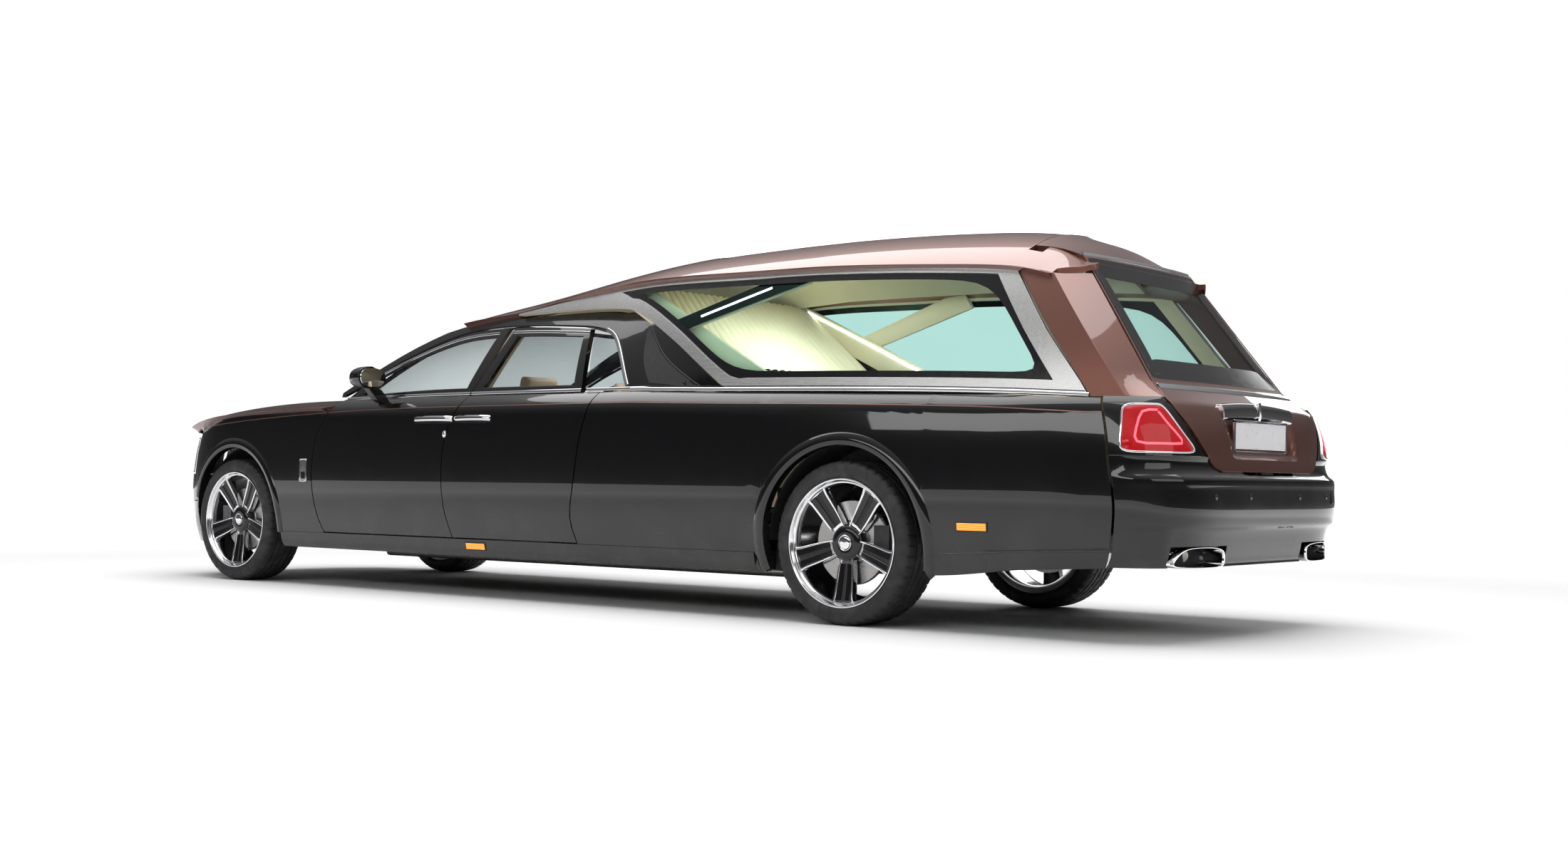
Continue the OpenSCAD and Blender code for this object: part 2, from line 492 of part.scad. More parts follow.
// The front end of the opening runs up and forwards, so the pane's edge is moved back and up there
function pane_edge(k, j) = k == plate_last_open ? [-1, j == 3 ? 0 : 0.6] : [k == 1 ? seat_gap : 0, (2 - j) * seat_gap];
module bay_pane() {
    slab([for (k = [1:plate_last_open]) [for (j = [1:3]) let (p = plate_pt(plate_us[k], j),
            e = pane_edge(k, j)) bay_pt(p + e, 12)]],
         [for (k = [1:plate_last_open]) [for (j = [1:3]) let (p = plate_pt(plate_us[k], j),
            e = pane_edge(k, j)) bay_pt(p + e, 12 + glass_t)]]);
}
module side_windows() color("lightcyan", 0.4) both() { bay_pane(); quarter_pane(); }

// ---- tail ----
// The tailgate's profile up its middle, and its half width, by a share of its height
gate_low = 690;
function gate_z(t) = curve([[0, gate_low], [0.28, 960], [0.36, 1046], [0.9, 1600], [1, 1708]], t);
function gate_w(t) = curve([[0, 498], [0.08, 560], [0.2, 650], [0.28, 700], [0.36, 640], [0.9, 506], [1, 520]], t);
function tail_skin_x(y, z) = let (w = side_y(tail_s, z)) tail_s - tail_reach(z) * pow(max(0, 1 - pow(min(1, abs(y) / w), tail_n)), 1 / tail_n);
function glass_x(y, z) = -1345 + (z - 1046) * tan(back_angle) + 22 * pow(y / 600, 2);
function gate_x(y, z) =
    z <= 960 ? tail_skin_x(y, z) : z >= 1046 ? glass_x(y, z) :
    lerp(tail_skin_x(y, 960), glass_x(y, 1046), (z - 960) / 86);
gate_top_x = roof_rear - gap;
function roof_z(x, y) = let (e = roof_edge(x), m = roof_mid(x)) e + (m - e) * (1 - pow(abs(y) / roof_edge_y(x), 2.5));
gate_ts = [0, 0.08, 0.16, 0.22, 0.28, 0.36, 0.4, 0.55, 0.72, 0.87, 0.9, 0.95, 1];
gate_vs = [-1, -0.94, -0.75, -0.5, -0.25, 0, 0.25, 0.5, 0.75, 0.94, 1];
function gate_pt(t, v, e = 0) =
    let (z = gate_z(min(t, 0.9)), y = v * gate_w(t), x = gate_x(y, z), k = max(0, (t - 0.9) * 10))
    [lerp(x, gate_top_x, k) + e * (1 - k * 0.9), y, lerp(z, roof_z(gate_top_x, y), k == 0 ? 0 : k == 1 ? 1 : 0.62)];
module tailgate() color("saddlebrown") {
    slab([for (v = gate_vs) [for (t = gate_ts) gate_pt(t, v)]],
         [for (v = gate_vs) [for (t = gate_ts) gate_pt(t, v * 0.985, 40) - [0, 0, max(0, (t - 0.9) * 300)]]],
         [[1, 9, 6, 9]]);
}
module tailgate_glass() color("dimgray", 0.5) {
    ts = [for (k = [6:9]) gate_ts[k] + (k == 6 ? 0.0004 : k == 9 ? -0.0004 : 0)];
    vs = [for (k = [1:9]) gate_vs[k] + (k == 1 ? 0.0006 : k == 9 ? -0.0006 : 0)];
    slab([for (v = vs) [for (t = ts) gate_pt(t, v * 0.9968, 8)]],
         [for (v = vs) [for (t = ts) gate_pt(t, v * 0.9944, 8 + glass_t)]]);
}
function lamp_edge(z) = curve([[gate_low, 498], [760, 575], [850, 650], [960, 706]], z) + gap;
// A point of the tail between its side shut (w = 0) and an edge at y1 (w = 1)
tail_turn = tail_s - 660;
function corner_pt(w, z, y1) =
    w <= 0.5 ? skin(lerp(tail_shut, tail_turn, w * 2), z) :
    let (y = lerp(skin(tail_turn, z)[1], y1, w * 2 - 1)) [tail_skin_x(y, z), y, z];
function corner_in(w, z, y1, t) = corner_pt(w, z, y1) + t * [min(1, w * 1.3), min(0, w * 1.3 - 1), 0];
module tail_lamps() color("red") both() {
    ws = [1, 0.88, 0.75, 0.62, 0.5, 0.38, 0.25, 0.12, 0];
    zs = [747.6, 800, 850, 900, 956.4];
    slab([for (w = ws) [for (z = zs) corner_pt(w, z, lamp_edge(z))]],
         [for (w = ws) [for (z = zs) corner_in(w, z, lamp_edge(z), 60)]]);
}
function gate_half(z) = z < 1046 ? lerp(702, 642, (z - 960) / 86) : lerp(642, 508, (z - 1046) / 554);
// The rear pillar stands between the side window's rear edge and the tailgate's glass
pillar_low = 983;
function pillar_x(w, z) = w == 0 ? lerp(-1156, -741, (z - pillar_low) / 557) : lerp(-1300, -898, (z - pillar_low) / 540);
function pillar_top(w) = w == 0 ? roof_edge(-741) - 46 : w < 0.6 ? roof_edge(-880) - 46 : w < 0.9 ? roof_edge(-880) - 34 : roof_edge(-880) - 8;
function pillar_pt(w, v) =
    let (z = lerp(pillar_low, pillar_top(w), v), x0 = pillar_x(0.5, z), y0 = bay_y(x0, z) - 4,
         y1 = gate_half(z) + gap, x1 = gate_x(y1, z), k = max(0, w * 2 - 1))
    w < 0.5 ? [pillar_x(0, z), bay_y(pillar_x(0, z), z), z] : [lerp(x0, x1, k), lerp(y0, y1, k), z];
module tail_corners() color("sienna") both() {
    ws = [1, 0.75, 0.5, 0];
    vs = steps(0, 1, 6);
    slab([for (w = ws) [for (v = vs) pillar_pt(w, v)]],
         [for (w = ws) [for (v = vs) pillar_pt(w, v) + [w > 0.6 ? 36 : w > 0 ? 30 : 0, w > 0.9 ? 2 : w > 0 ? -30 : -36, 0]]]);
    // The ledge under the pillar, over the lamp
    slab([for (w = [1, 0.75, 0.5, 0.25, 0]) [for (z = [957, pillar_low - 0.5]) corner_pt(w, z, 720)]],
         [for (w = [1, 0.75, 0.5, 0.25, 0]) [for (z = [957, pillar_low - 0.5]) corner_in(w, z, 720, 130)]]);
}
// Columns of the bumper: [side, station] round the corners and [0, y] across the tail
bumper_ys = [770, 590, 380, 250, 120, 0, -120, -250, -380, -590, -770];
bumper_ss = steps(tail_shut, tail_turn, 3);
bumper_cols = concat([for (v = bumper_ss) [-1, v]], [for (y = bumper_ys) [0, y]],
    [for (k = [3:-1:0]) [1, bumper_ss[k]]]);
function bumper_at(c, z) = c[0] == 0 ? [tail_skin_x(c[1], z), c[1], z] :
    let (p = skin(c[1], z)) [p[0], -c[0] * p[1], z];
function bumper_in(c, z) = let (k = (tail_shut - c[1]) / (tail_shut - tail_turn))
    bumper_at(c, z) + (wall_t + 14) * (c[0] == 0 ? [1, 0, 0] : [0.9 * k, c[0] * (1 - 0.5 * k), 0]);
module rear_bumper() color("black") {
    zs = [304, 388, 440, 500, 560, 620, 680, 747];
    n = len(bumper_cols) - 1;
    slab([for (k = [n:-1:0]) [for (z = zs) bumper_at(bumper_cols[k], z)]],
         [for (k = [n:-1:0]) [for (z = zs) bumper_in(bumper_cols[k], z)]],
         [[5, 13, 6, 7], [4, 6, 0, 1], [12, 14, 0, 1]]);
    // The tailgate shuts down on a latch block
    translate([tail_skin_x(0, 680) + 12, -60, 679]) cube([28, 120, gate_low - seat_gap - 679]);
}
module marker(s0, s1, z0, z1) {
    ss = steps(s0, s1, 3);
    slab([for (s = ss) [for (z = [z0, z1]) skin(s, z) + 4 * skin_out(s, z)]],
         [for (s = ss) [for (z = [z0, z1]) skin(s, z) + 0.9 * skin_out(s, z)]]);
}
module marker_lamps() color("orange") both() {
    marker(-750, -600, 430, 470);
    marker(2290, 2440, 250, 290);
}

// ---- floor and running gear ----
pan_z = sill_low + 4;
pan_t = 30;
pan_w = half_w - 200;
rear_y = track_rear / 2;
front_y = track_front / 2;
tunnel_w = 300;
tunnel_z = 400;
kick_x = arch_r + 60;
rear_floor_z = 570;
rear_floor_w = rear_y - tyre_w / 2 - 70;
firewall_x = fa - 730;
rail_y = 400;
rail_w = 80;
module floor_pan() color("dimgray") {
    difference() {
        union() {
            translate([kick_x, -pan_w, pan_z]) cube([firewall_x - kick_x, 2 * pan_w, pan_t]);
            translate([kick_x, -tunnel_w / 2 - 30, pan_z]) cube([firewall_x - kick_x, tunnel_w + 60, tunnel_z - pan_z]);
        }
        translate([kick_x - 1, -tunnel_w / 2, pan_z - 1]) cube([firewall_x - kick_x + 2, tunnel_w, tunnel_z - pan_z - 29]);
    }
    translate([kick_x - 30, -pan_w, tunnel_z - 30]) cube([30, 2 * pan_w, rear_floor_z - tunnel_z + 60]);
    difference() {
        translate([kick_x - 30, -pan_w, pan_z]) cube([30, 2 * pan_w, tunnel_z - pan_z]);
        translate([kick_x - 31, -tunnel_w / 2, pan_z - 1]) cube([32, tunnel_w, tunnel_z - pan_z - 29]);
    }
    translate([tail_end + 150, -rear_floor_w, rear_floor_z]) cube([kick_x - tail_end - 150, 2 * rear_floor_w, 30]);
    difference() {
        translate([firewall_x, -pan_w, pan_z]) cube([30, 2 * pan_w, belt_h - 60 - pan_z]);
        translate([firewall_x - 1, -tunnel_w / 2, pan_z - 1]) cube([32, tunnel_w, tunnel_z - pan_z - 29]);
    }
    both() translate([firewall_x + 30, rail_y - rail_w / 2, tyre_r + 30]) cube([nose_end - 88.4 - firewall_x - 30, rail_w, 110]);
    both() translate([tail_end + 150, rail_y - rail_w / 2, rear_floor_z - 90]) cube([kick_x - 30 - tail_end - 150, rail_w, 90]);
    both() translate([tail_end + wall_t + 22, rail_y - rail_w / 2, rear_floor_z - 90]) cube([100, rail_w, 40]);
}

module arch_liner(cx, y0, y1) {
    translate([cx, y1, tyre_r]) rotate([90, 0, 0]) difference() {
        cylinder(r = arch_r + 10, h = y1 - y0);
        translate([0, 0, -1]) cylinder(r = arch_r + 2, h = y1 - y0 - 9);
        translate([-arch_r - 20, -arch_r - 20, -1]) cube([2 * arch_r + 40, arch_r + 20, y1 - y0 + 2]);
        translate([-150, -1, y1 - y0 - 12]) cube([300, arm_up + 50, 14]);
    }
}
module arch_liners() color("dimgray") both() {
    arch_liner(0, rear_floor_w + 0.3, half_w - 80);
    arch_liner(fa, rail_y + rail_w / 2 + 40, half_w - 150);
}

axle_r = 30;
king_in = 60;
king_r = 16;
king_y = front_y - king_in;
hub_y = rear_y - king_in;
arm_up = 150;
arm_down = 120;
fit = 0.3;
module arm(y0, z, w) {
    difference() {
        hull() {
            translate([fa, king_y, z]) cylinder(r = king_r + 16, h = 30, $fn = 32);
            translate([fa - w, y0, z]) cube([2 * w, 20, 30]);
        }
        translate([fa, king_y, z - 1]) cylinder(r = king_r + fit, h = 32);
    }
}
tower_y = rail_y + rail_w / 2;
module front_subframe() color("gray") {
    translate([fa - 70, -tower_y - 10, tyre_r - arm_down - 20]) cube([140, 2 * tower_y + 20, 60]);
    both() {
        arm(tower_y + 10, tyre_r - arm_down - 15, 130);
        arm(tower_y + 10, tyre_r + arm_up - 15, 86);
        translate([fa - 88, tower_y, tyre_r - arm_down]) cube([176, 36, arm_down + arm_up + 10]);
        translate([fa, king_y - 150, tyre_r - arm_down]) cylinder(r = 32, h = arm_down + arch_r - 1.7);
    }
}
module knuckle() {
    translate([fa, king_y, tyre_r - arm_down - 30]) cylinder(r = king_r, h = arm_down + arm_up + 60);
    translate([fa - 45, king_y - 26, tyre_r - arm_down + 22]) cube([90, 44, arm_down + arm_up - 44]);
    translate([fa, king_y, tyre_r]) rotate([-90, 0, 0]) cylinder(r = 62, h = 24);
    translate([fa, king_y, tyre_r]) rotate([-90, 0, 0]) cylinder(r = axle_r, h = 150);
    translate([fa - 190, king_y - 22, tyre_r - 60]) cube([160, 26, 50]);
    // Brake caliper, open over the disc
    translate([fa + 130, king_y - 10, tyre_r - 70]) difference() {
        cube([80, 122, 150]);
        translate([-20, 66, -1]) cube([80, 42, 152]);
    }
    translate([fa + 40, king_y - 10, tyre_r - 40]) cube([100, 20, 80]);
}
module knuckle_left() color("gray") knuckle();
module knuckle_right() color("gray") mirror([0, 1, 0]) knuckle();

module rear_subframe() color("gray") {
    difference() {
        translate([-150, -rail_y - 40, tyre_r - 60]) cube([300, 2 * rail_y + 80, 130]);
        translate([-90, -rail_y + 40, tyre_r - 61]) cube([180, 2 * rail_y - 80, 132]);
    }
    translate([-140, -130, tyre_r - 90]) cube([280, 260, 190]);
    both() {
        translate([0, 130, tyre_r]) rotate([-90, 0, 0]) cylinder(r = 22, h = hub_y - 150);
        translate([0, rail_y + 60, tyre_r - 60]) rotate([-90, 0, 0]) cylinder(r = 20, h = hub_y - rail_y - 62);
        translate([-60, rail_y + 39, tyre_r - 80]) cube([120, 30, 160]);
        translate([-60, hub_y - 26, tyre_r - 110]) cube([120, 44, 250]);
        translate([0, hub_y, tyre_r]) rotate([-90, 0, 0]) cylinder(r = axle_r, h = 150);
        translate([-40, rail_y - 40, tyre_r + 60]) cube([80, 80, rear_floor_z - 90 - tyre_r - 60]);
        translate([-210, hub_y - 10, tyre_r - 70]) difference() {
            cube([80, 122, 150]);
            translate([20, 66, -1]) cube([80, 42, 152]);
        }
        translate([-140, hub_y - 10, tyre_r - 40]) cube([100, 20, 80]);
    }
}

module engine_block() color("darkslategray") {
    translate([fa - 560, -280, tyre_r + 0.3]) cube([660, 560, 420]);
    translate([fa - 1500, 0, 300]) rotate([0, 90, 0]) cylinder(r = 66, h = 945);
    translate([160, 0, 300]) rotate([0, 90, 0]) cylinder(r = 36, h = fa - 1660);
    translate([fa - 220, -rail_y + 40.3, tyre_r + 30]) cube([60, 2 * rail_y - 80.6, 60]);
}

pipe_y = 322;
pipe_r = 28;
pipe_low = sill_low - 30;
pipe_high = rear_floor_z - 70;
// An upright length of the pipe, a little wider than the pipes that run into it
module riser(x, z0, z1) translate([x, pipe_y, z0]) cylinder(r = pipe_r + 4, h = z1 - z0);
module exhaust_pipe() {
    // Low under the cab, then up and over the rear axle, then down into the silencer
    translate([370, pipe_y, pipe_low]) rotate([0, 90, 0]) cylinder(r = pipe_r, h = fa - 1070);
    riser(370, pipe_low - pipe_r - 6, pipe_high + pipe_r + 6);
    translate([-960, pipe_y, pipe_high]) rotate([0, 90, 0]) cylinder(r = pipe_r, h = 1330);
    riser(-960, 351, pipe_high + pipe_r + 6);
    translate([-1380, 250, 320]) cube([400, 330, 130]);
    translate([-1180, 380, 449]) cube([40, 20, rear_floor_z - 449 - 90]);
    for (x = [800, 1800, 2800]) translate([x, 314, pipe_low]) cube([30, 20, pan_z - sill_low + 30]);
    translate([-1545, 404, 314]) difference() {
        cube([166, 306, 66]);
        translate([-1, 10, 10]) cube([140, 286, 46]);
    }
}
module exhaust_system() color("silver") both() exhaust_pipe();

// ---- wheels ----
disc_y = 34;
// Wheel about its own centre, its outer side towards +Y
module rim_side(w) {
    out = w / 2 - 6;
    rotate([-90, 0, 0]) {
        rotate_extrude($fn = 96) polygon([
            [rim_r - 34, -out], [rim_r, -out], [rim_r, -out + 9], [rim_r - 18, -out + 22], [rim_r - 18, out - 22],
            [rim_r, out - 9], [rim_r, out], [rim_r - 14, out], [rim_r - 26, out - 14], [rim_r - 30, out - 40],
            [rim_r - 30, -out + 30], [rim_r - 34, -out + 12]]);
        difference() {
            cylinder(r = 84, h = out - 12);
            translate([0, 0, -1]) cylinder(r = axle_r + fit, h = out - 34);
        }
        cylinder(r = disc_r, h = disc_y);
        for (k = [0:4]) for (a = [-13, 13]) rotate(72 * k + 90 + a)
            translate([60, -17, out - 52]) cube([rim_r - 88, 34, 38]);
    }
}
module rim_bored(w) {
    difference() {
        rim_side(w);
        rotate([-90, 0, 0]) translate([0, 0, -1]) cylinder(r = axle_r + fit, h = w / 2 - 32);
    }
}
module tyre_side(w) {
    h = w / 2;
    rotate([-90, 0, 0]) rotate_extrude($fn = 96) polygon([
        [rim_r - 17.7, -h + 30], [rim_r + 0.5, -h + 17], [rim_r + 8, -h + 6], [rim_r + 28, -h], [tyre_r - 26, -h + 4],
        [tyre_r - 9, -h + 16], [tyre_r - 2, -h + 34], [tyre_r, -h + 60], [tyre_r, h - 60], [tyre_r - 2, h - 34],
        [tyre_r - 9, h - 16], [tyre_r - 26, h - 4], [rim_r + 28, h], [rim_r + 8, h - 6], [rim_r + 0.5, h - 17],
        [rim_r - 17.7, h - 30]]);
}
module at_wheel(x, left) on_left(left) translate([x, x > 0 ? front_y : rear_y, tyre_r]) children();
module rim_front_left() color("silver") at_wheel(fa, true) rim_bored(tyre_w);
module rim_front_right() color("silver") at_wheel(fa, false) rim_bored(tyre_w);
module rim_rear_left() color("silver") at_wheel(0, true) rim_bored(tyre_w);
module rim_rear_right() color("silver") at_wheel(0, false) rim_bored(tyre_w);
module tyre_front_left() color("black") at_wheel(fa, true) tyre_side(tyre_w);
module tyre_front_right() color("black") at_wheel(fa, false) tyre_side(tyre_w);
module tyre_rear_left() color("black") at_wheel(0, true) tyre_side(tyre_w);
module tyre_rear_right() color("black") at_wheel(0, false) tyre_side(tyre_w);

// ---- inside ----
dash_x = firewall_x;
module dashboard() color("black") {
    translate([dash_x, half_w - 260, 0]) rotate([90, 0, 0]) linear_extrude(2 * half_w - 520)
        polygon([[0, 620], [0, belt_h - 90], [-60, belt_h - 76], [-330, belt_h - 110], [-390, belt_h - 160], [-330, 760], [-180, 620]]);
    translate([dash_x - 330, -110, 620]) cube([200, 220, 200]);
}
wheel_y = 370;
module steering_wheel() color("black") {
    translate([dash_x - 520, wheel_y, belt_h - 190]) rotate([0, -65, 0]) {
        rotate_extrude($fn = 48) translate([175, 0]) circle(r = 15, $fn = 20);
        translate([0, 0, -14]) cylinder(r = 62, h = 30);
        for (a = [90, 210, 330]) rotate(a) translate([50, -16, -8]) cube([115, 32, 16]);
        translate([0, 0, -162.3]) cylinder(r = 30, h = 149.5);
    }
}
seat_low = tunnel_z + 4;
module seat_piece(x, w, y) {
    translate([x, y + w / 2, 0]) rotate([90, 0, 0]) linear_extrude(w)
        polygon([[0, seat_low], [0, 460], [60, 520], [-70, 900], [-95, 1010], [-40, 1030], [20, 1000], [110, 640],
                 [150, 560], [560, 590], [620, 560], [630, 480], [600, seat_low]]);
    translate([x - 95, y + w * 0.28, 1050]) rotate([90, 0, 0]) linear_extrude(w * 0.56)
        polygon([[0, 0], [-20, 60], [-10, 150], [40, 160], [75, 120], [70, 20], [50, 0]]);
    for (s = [-60, 60]) translate([x - 68, y + s, 1000]) cylinder(r = 7, h = 60);
    on_left(y > 0) translate([x + 40, abs(y) - w / 2 + 96, pan_z + pan_t]) cube([520, w - 130, seat_low + 1 - pan_z - pan_t]);
}
module seats() color("beige") {
    for (y = [-wheel_y, wheel_y]) seat_piece(fa - 1960, 520, y);
    for (y = [-wheel_y, wheel_y]) seat_piece(fa - 2950, 560, y);
}
wall_x = kick_x + 560;
module partition() color("beige") {
    translate([wall_x, -half_w + 240, deck_h - 60]) cube([40, 2 * half_w - 480, belt_h + 260 - deck_h]);
}
deck_rear = tail_end + 230;
module coffin_deck() color("darkblue") {
    translate([deck_rear, -deck_w / 2, deck_h - 40]) cube([wall_x - deck_rear - 0.3, deck_w, 40]);
    for (y = [-deck_w / 2, -20, deck_w / 2 - 40]) translate([deck_rear, y, rear_floor_z + 30])
        cube([wall_x - deck_rear - 0.3, 40, deck_h - 69 - rear_floor_z]);
    for (x = steps(deck_rear + 200, wall_x - 200, 5)) translate([x, -150, deck_h]) rotate([-90, 0, 0]) cylinder(r = 24, h = 300);
}
module bay_lining() color("beige") {
    both() translate([deck_rear + 60, deck_w / 2 + 0.3, rear_floor_z + 30]) cube([wall_x - deck_rear - 60.3, 30, belt_h - 90 - rear_floor_z]);
    xs = steps(roof_rear + 60, fa - 2100, 7);
    vs = [1, 0.6, 0.2, -0.2, -0.6, -1];
    slab([for (x = xs) [for (v = vs) roof_pt(x, v * 0.86) - [0, 0, frame_t + 8.6]]],
         [for (x = xs) [for (v = vs) roof_pt(x, v * 0.86) - [0, 0, frame_t + 29]]]);
}

// ---- drawing ----
car() floor_pan();
car() arch_liners();
car() sills();
car() front_subframe();
car() rear_subframe();
car() engine_block();
car() exhaust_system();
car() front_bumper();
car() grille();
car() headlamps();
car() front_wings();
car() windscreen();
car() cab_frame();
car() roof();
car() side_panels();
car() window_surrounds();
car() side_windows();
car() tail_corners();
car() rear_bumper();
car() tail_lamps();
car() marker_lamps();
car() dashboard();
car() steering_wheel();
car() seats();
car() partition();
car() coffin_deck();
car() bay_lining();
car() bonnet();
car() tailgate();
car() tailgate_glass();
car() front_door_left();
car() front_door_right();
car() front_door_glass_left();
car() front_door_glass_right();
car() rear_door_left();
car() rear_door_right();
car() rear_door_glass_left();
car() rear_door_glass_right();
car() mirror_left();
car() mirror_right();
car() knuckle_left();
car() knuckle_right();
car() rim_front_left();
car() rim_front_right();
car() rim_rear_left();
car() rim_rear_right();
car() tyre_front_left();
car() tyre_front_right();
car() tyre_rear_left();
car() tyre_rear_right();
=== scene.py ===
import json
import math
import bpy
from mathutils import Matrix, Vector

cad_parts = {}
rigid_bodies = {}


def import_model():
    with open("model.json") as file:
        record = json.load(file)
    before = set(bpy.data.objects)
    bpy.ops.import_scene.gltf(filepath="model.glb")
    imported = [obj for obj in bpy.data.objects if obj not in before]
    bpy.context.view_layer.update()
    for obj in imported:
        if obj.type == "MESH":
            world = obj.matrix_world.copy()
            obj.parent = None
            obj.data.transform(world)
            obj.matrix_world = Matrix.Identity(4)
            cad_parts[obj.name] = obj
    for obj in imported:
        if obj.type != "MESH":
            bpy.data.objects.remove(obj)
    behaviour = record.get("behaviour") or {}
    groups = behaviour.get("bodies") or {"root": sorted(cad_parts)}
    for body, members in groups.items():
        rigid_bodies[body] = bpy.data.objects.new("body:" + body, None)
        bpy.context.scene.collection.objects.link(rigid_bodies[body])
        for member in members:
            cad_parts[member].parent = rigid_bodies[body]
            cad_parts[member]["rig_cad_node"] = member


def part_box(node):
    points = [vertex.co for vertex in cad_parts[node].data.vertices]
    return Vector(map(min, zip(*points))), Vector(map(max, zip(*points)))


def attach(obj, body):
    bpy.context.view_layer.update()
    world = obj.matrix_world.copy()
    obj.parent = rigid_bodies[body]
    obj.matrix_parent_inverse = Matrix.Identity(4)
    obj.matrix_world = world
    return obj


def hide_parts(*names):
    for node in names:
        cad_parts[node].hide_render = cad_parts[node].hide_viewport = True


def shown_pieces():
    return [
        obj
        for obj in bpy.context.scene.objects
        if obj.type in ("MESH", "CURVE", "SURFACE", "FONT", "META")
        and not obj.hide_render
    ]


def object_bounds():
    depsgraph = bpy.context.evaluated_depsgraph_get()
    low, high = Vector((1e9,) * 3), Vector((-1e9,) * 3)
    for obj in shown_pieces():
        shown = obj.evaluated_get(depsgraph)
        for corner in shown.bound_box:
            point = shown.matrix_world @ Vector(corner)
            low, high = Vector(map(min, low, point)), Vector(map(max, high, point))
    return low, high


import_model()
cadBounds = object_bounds()
print("frame loaded")

# Millimetres from the rear axle are used throughout, and toFrame() turns them into the frame's metres
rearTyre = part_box("tyre_rear_left")
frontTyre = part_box("tyre_front_left")
axleX = (rearTyre[0].x + rearTyre[1].x) * 500
wheelbase = (frontTyre[0].x + frontTyre[1].x) * 500 - axleX
tyreR = (rearTyre[1].z - rearTyre[0].z) * 500
frontY = (frontTyre[0].y + frontTyre[1].y) * 500
rearY = (rearTyre[0].y + rearTyre[1].y) * 500
sides = (("Left", 1), ("Right", -1))

car = {"halfWidth": 974, "belt": 1060, "doorLow": 312, "sillDepth": 96, "roof": cadBounds[1].z * 1000,
       "frontOverhang": 880, "rearOverhang": 1570, "gap": 6, "arch": 432, "wall": 46, "doorThick": 90,
       "frameThick": 42, "glass": 6, "backAngle": 36, "rimR": 285, "deck": 700}
halfW, beltH, doorLow, gap = car["halfWidth"], car["belt"], car["doorLow"], car["gap"]
archR, fa = car["arch"], wheelbase
noseS, noseA, tailS, tailA = fa - 100, car["frontOverhang"] + 100, -700, car["rearOverhang"] - 700
noseEnd, tailEnd, tailShut, tailTurn = noseS + noseA, tailS - tailA, tailS - 610, tailS - 660
sillLow = doorLow - car["sillDepth"]
bayLowY = halfW - 92


# Lines of the body
def mix(a, b, t):
    return a + (b - a) * t


def steps(a, b, n):
    return [a + (b - a) * i / n for i in range(n + 1)]


def refine(values, n):
    out = []
    for a, b in zip(values, values[1:]):
        out += [mix(a, b, k / n) for k in range(n)]
    return out + [values[-1]]


def curve(p, x):                                # smooth line through a short list of (x, value)
    if x <= p[0][0]:
        return p[0][1]
    if x >= p[-1][0]:
        return p[-1][1]
    k = max(i for i in range(len(p) - 1) if p[i][0] <= x)

    def slope(i):
        a, b = max(0, i - 1), min(len(p) - 1, i + 1)
        return (p[b][1] - p[a][1]) / (p[b][0] - p[a][0])

    h = p[k + 1][0] - p[k][0]
    t = (x - p[k][0]) / h
    m0, m1 = slope(k) * h, slope(k + 1) * h
    return ((2 * t**3 - 3 * t**2 + 1) * p[k][1] + (t**3 - 2 * t**2 + t) * m0
            + (3 * t**2 - 2 * t**3) * p[k + 1][1] + (t**3 - t**2) * m1)


def belt(x):
    return beltH + curve([(tailS - 560, -85), (-700, -55), (0, -32), (700, -16), (1300, 0)], x)


def sillZ(x):
    return sillLow + curve([(-1500, 92), (-900, 62), (-500, 24), (300, 0)], x)


def skirtZ(x):
    return doorLow - gap + curve([(-1500, 62), (-900, 40), (-500, 16), (300, 0)], x)


def plan(x):
    return 1 - 0.035 * ((x - 1500) / 3300) ** 4


def section(z):
    if z < 600:
        return 1 - 0.06 * ((600 - z) / 400) ** 2
    return 1 - 0.03 * ((z - 600) / 400) ** 2 - 0.055 * (max(0, z - 975) / 85) ** 2


def sideY(x, z):
    drop = 0 if z < 600 else (beltH - belt(x)) * min(1, (z - 600) / 400)
    return halfW * plan(x) * section(z + drop)


def noseReach(z):
    return noseA - curve([(200, 40), (330, 6), (450, 0), (600, 14), (760, 50), (900, 120), (1000, 210)], z)


def tailReach(z):
    return tailA - curve([(250, 100), (330, 40), (480, 4), (560, 0), (640, 14), (700, 34), (800, 52),
                          (900, 82), (980, 120), (1060, 190)], z)


def roundAt(f, n, f0):                          # rounding in plan: even in X first, then even round the turn
    if f <= f0:
        return f, (1 - max(0, f) ** n) ** (1 / n)
    a0 = math.atan2(f0, (1 - f0**n) ** (1 / n))
    a = a0 + (math.pi / 2 - a0) * (min(1, f) - f0) / (1 - f0)
    r = (abs(math.cos(a)) ** n + abs(math.sin(a)) ** n) ** (-1 / n)
    return r * math.sin(a), r * math.cos(a)


def skin(s, z):
    if s > noseS:
        c = roundAt((s - noseS) / noseA, 3, 0.62)
        return Vector((noseS + noseReach(z) * c[0], sideY(noseS, z) * c[1], z))
    if s < tailS:
        c = roundAt((tailS - s) / tailA, 5.5, 0.7)
        return Vector((tailS - tailReach(z) * c[0], sideY(tailS, z) * c[1], z))
    return Vector((s, sideY(s, z), z))


def skinOut(s, z):
    a, b = skin(s + 2, z) - skin(s - 2, z), skin(s, z + 2) - skin(s, z - 2)
    return b.cross(a).normalized()


def skinOff(s, z, off):
    return skin(s, z) + off * skinOut(s, z)


def bayY(x, z):
    lean = curve([(-1350, 62), (-900, 26), (-300, 4), (400, 0), (1300, 6), (2300, 46)], x)
    return bayLowY - lean - 0.2 * (z - beltH) - 60 * (max(0, z - 1100) / 500) ** 2


def cabY(x, z):
    h = max(0, z - beltH) / 400
    turn = curve([(800, 30), (1500, 0), (fa - 2000, 0), (fa - 1000, 14), (fa - 700, 30)], x)
    return halfW - 92 - turn - 150 * h - 40 * h * h


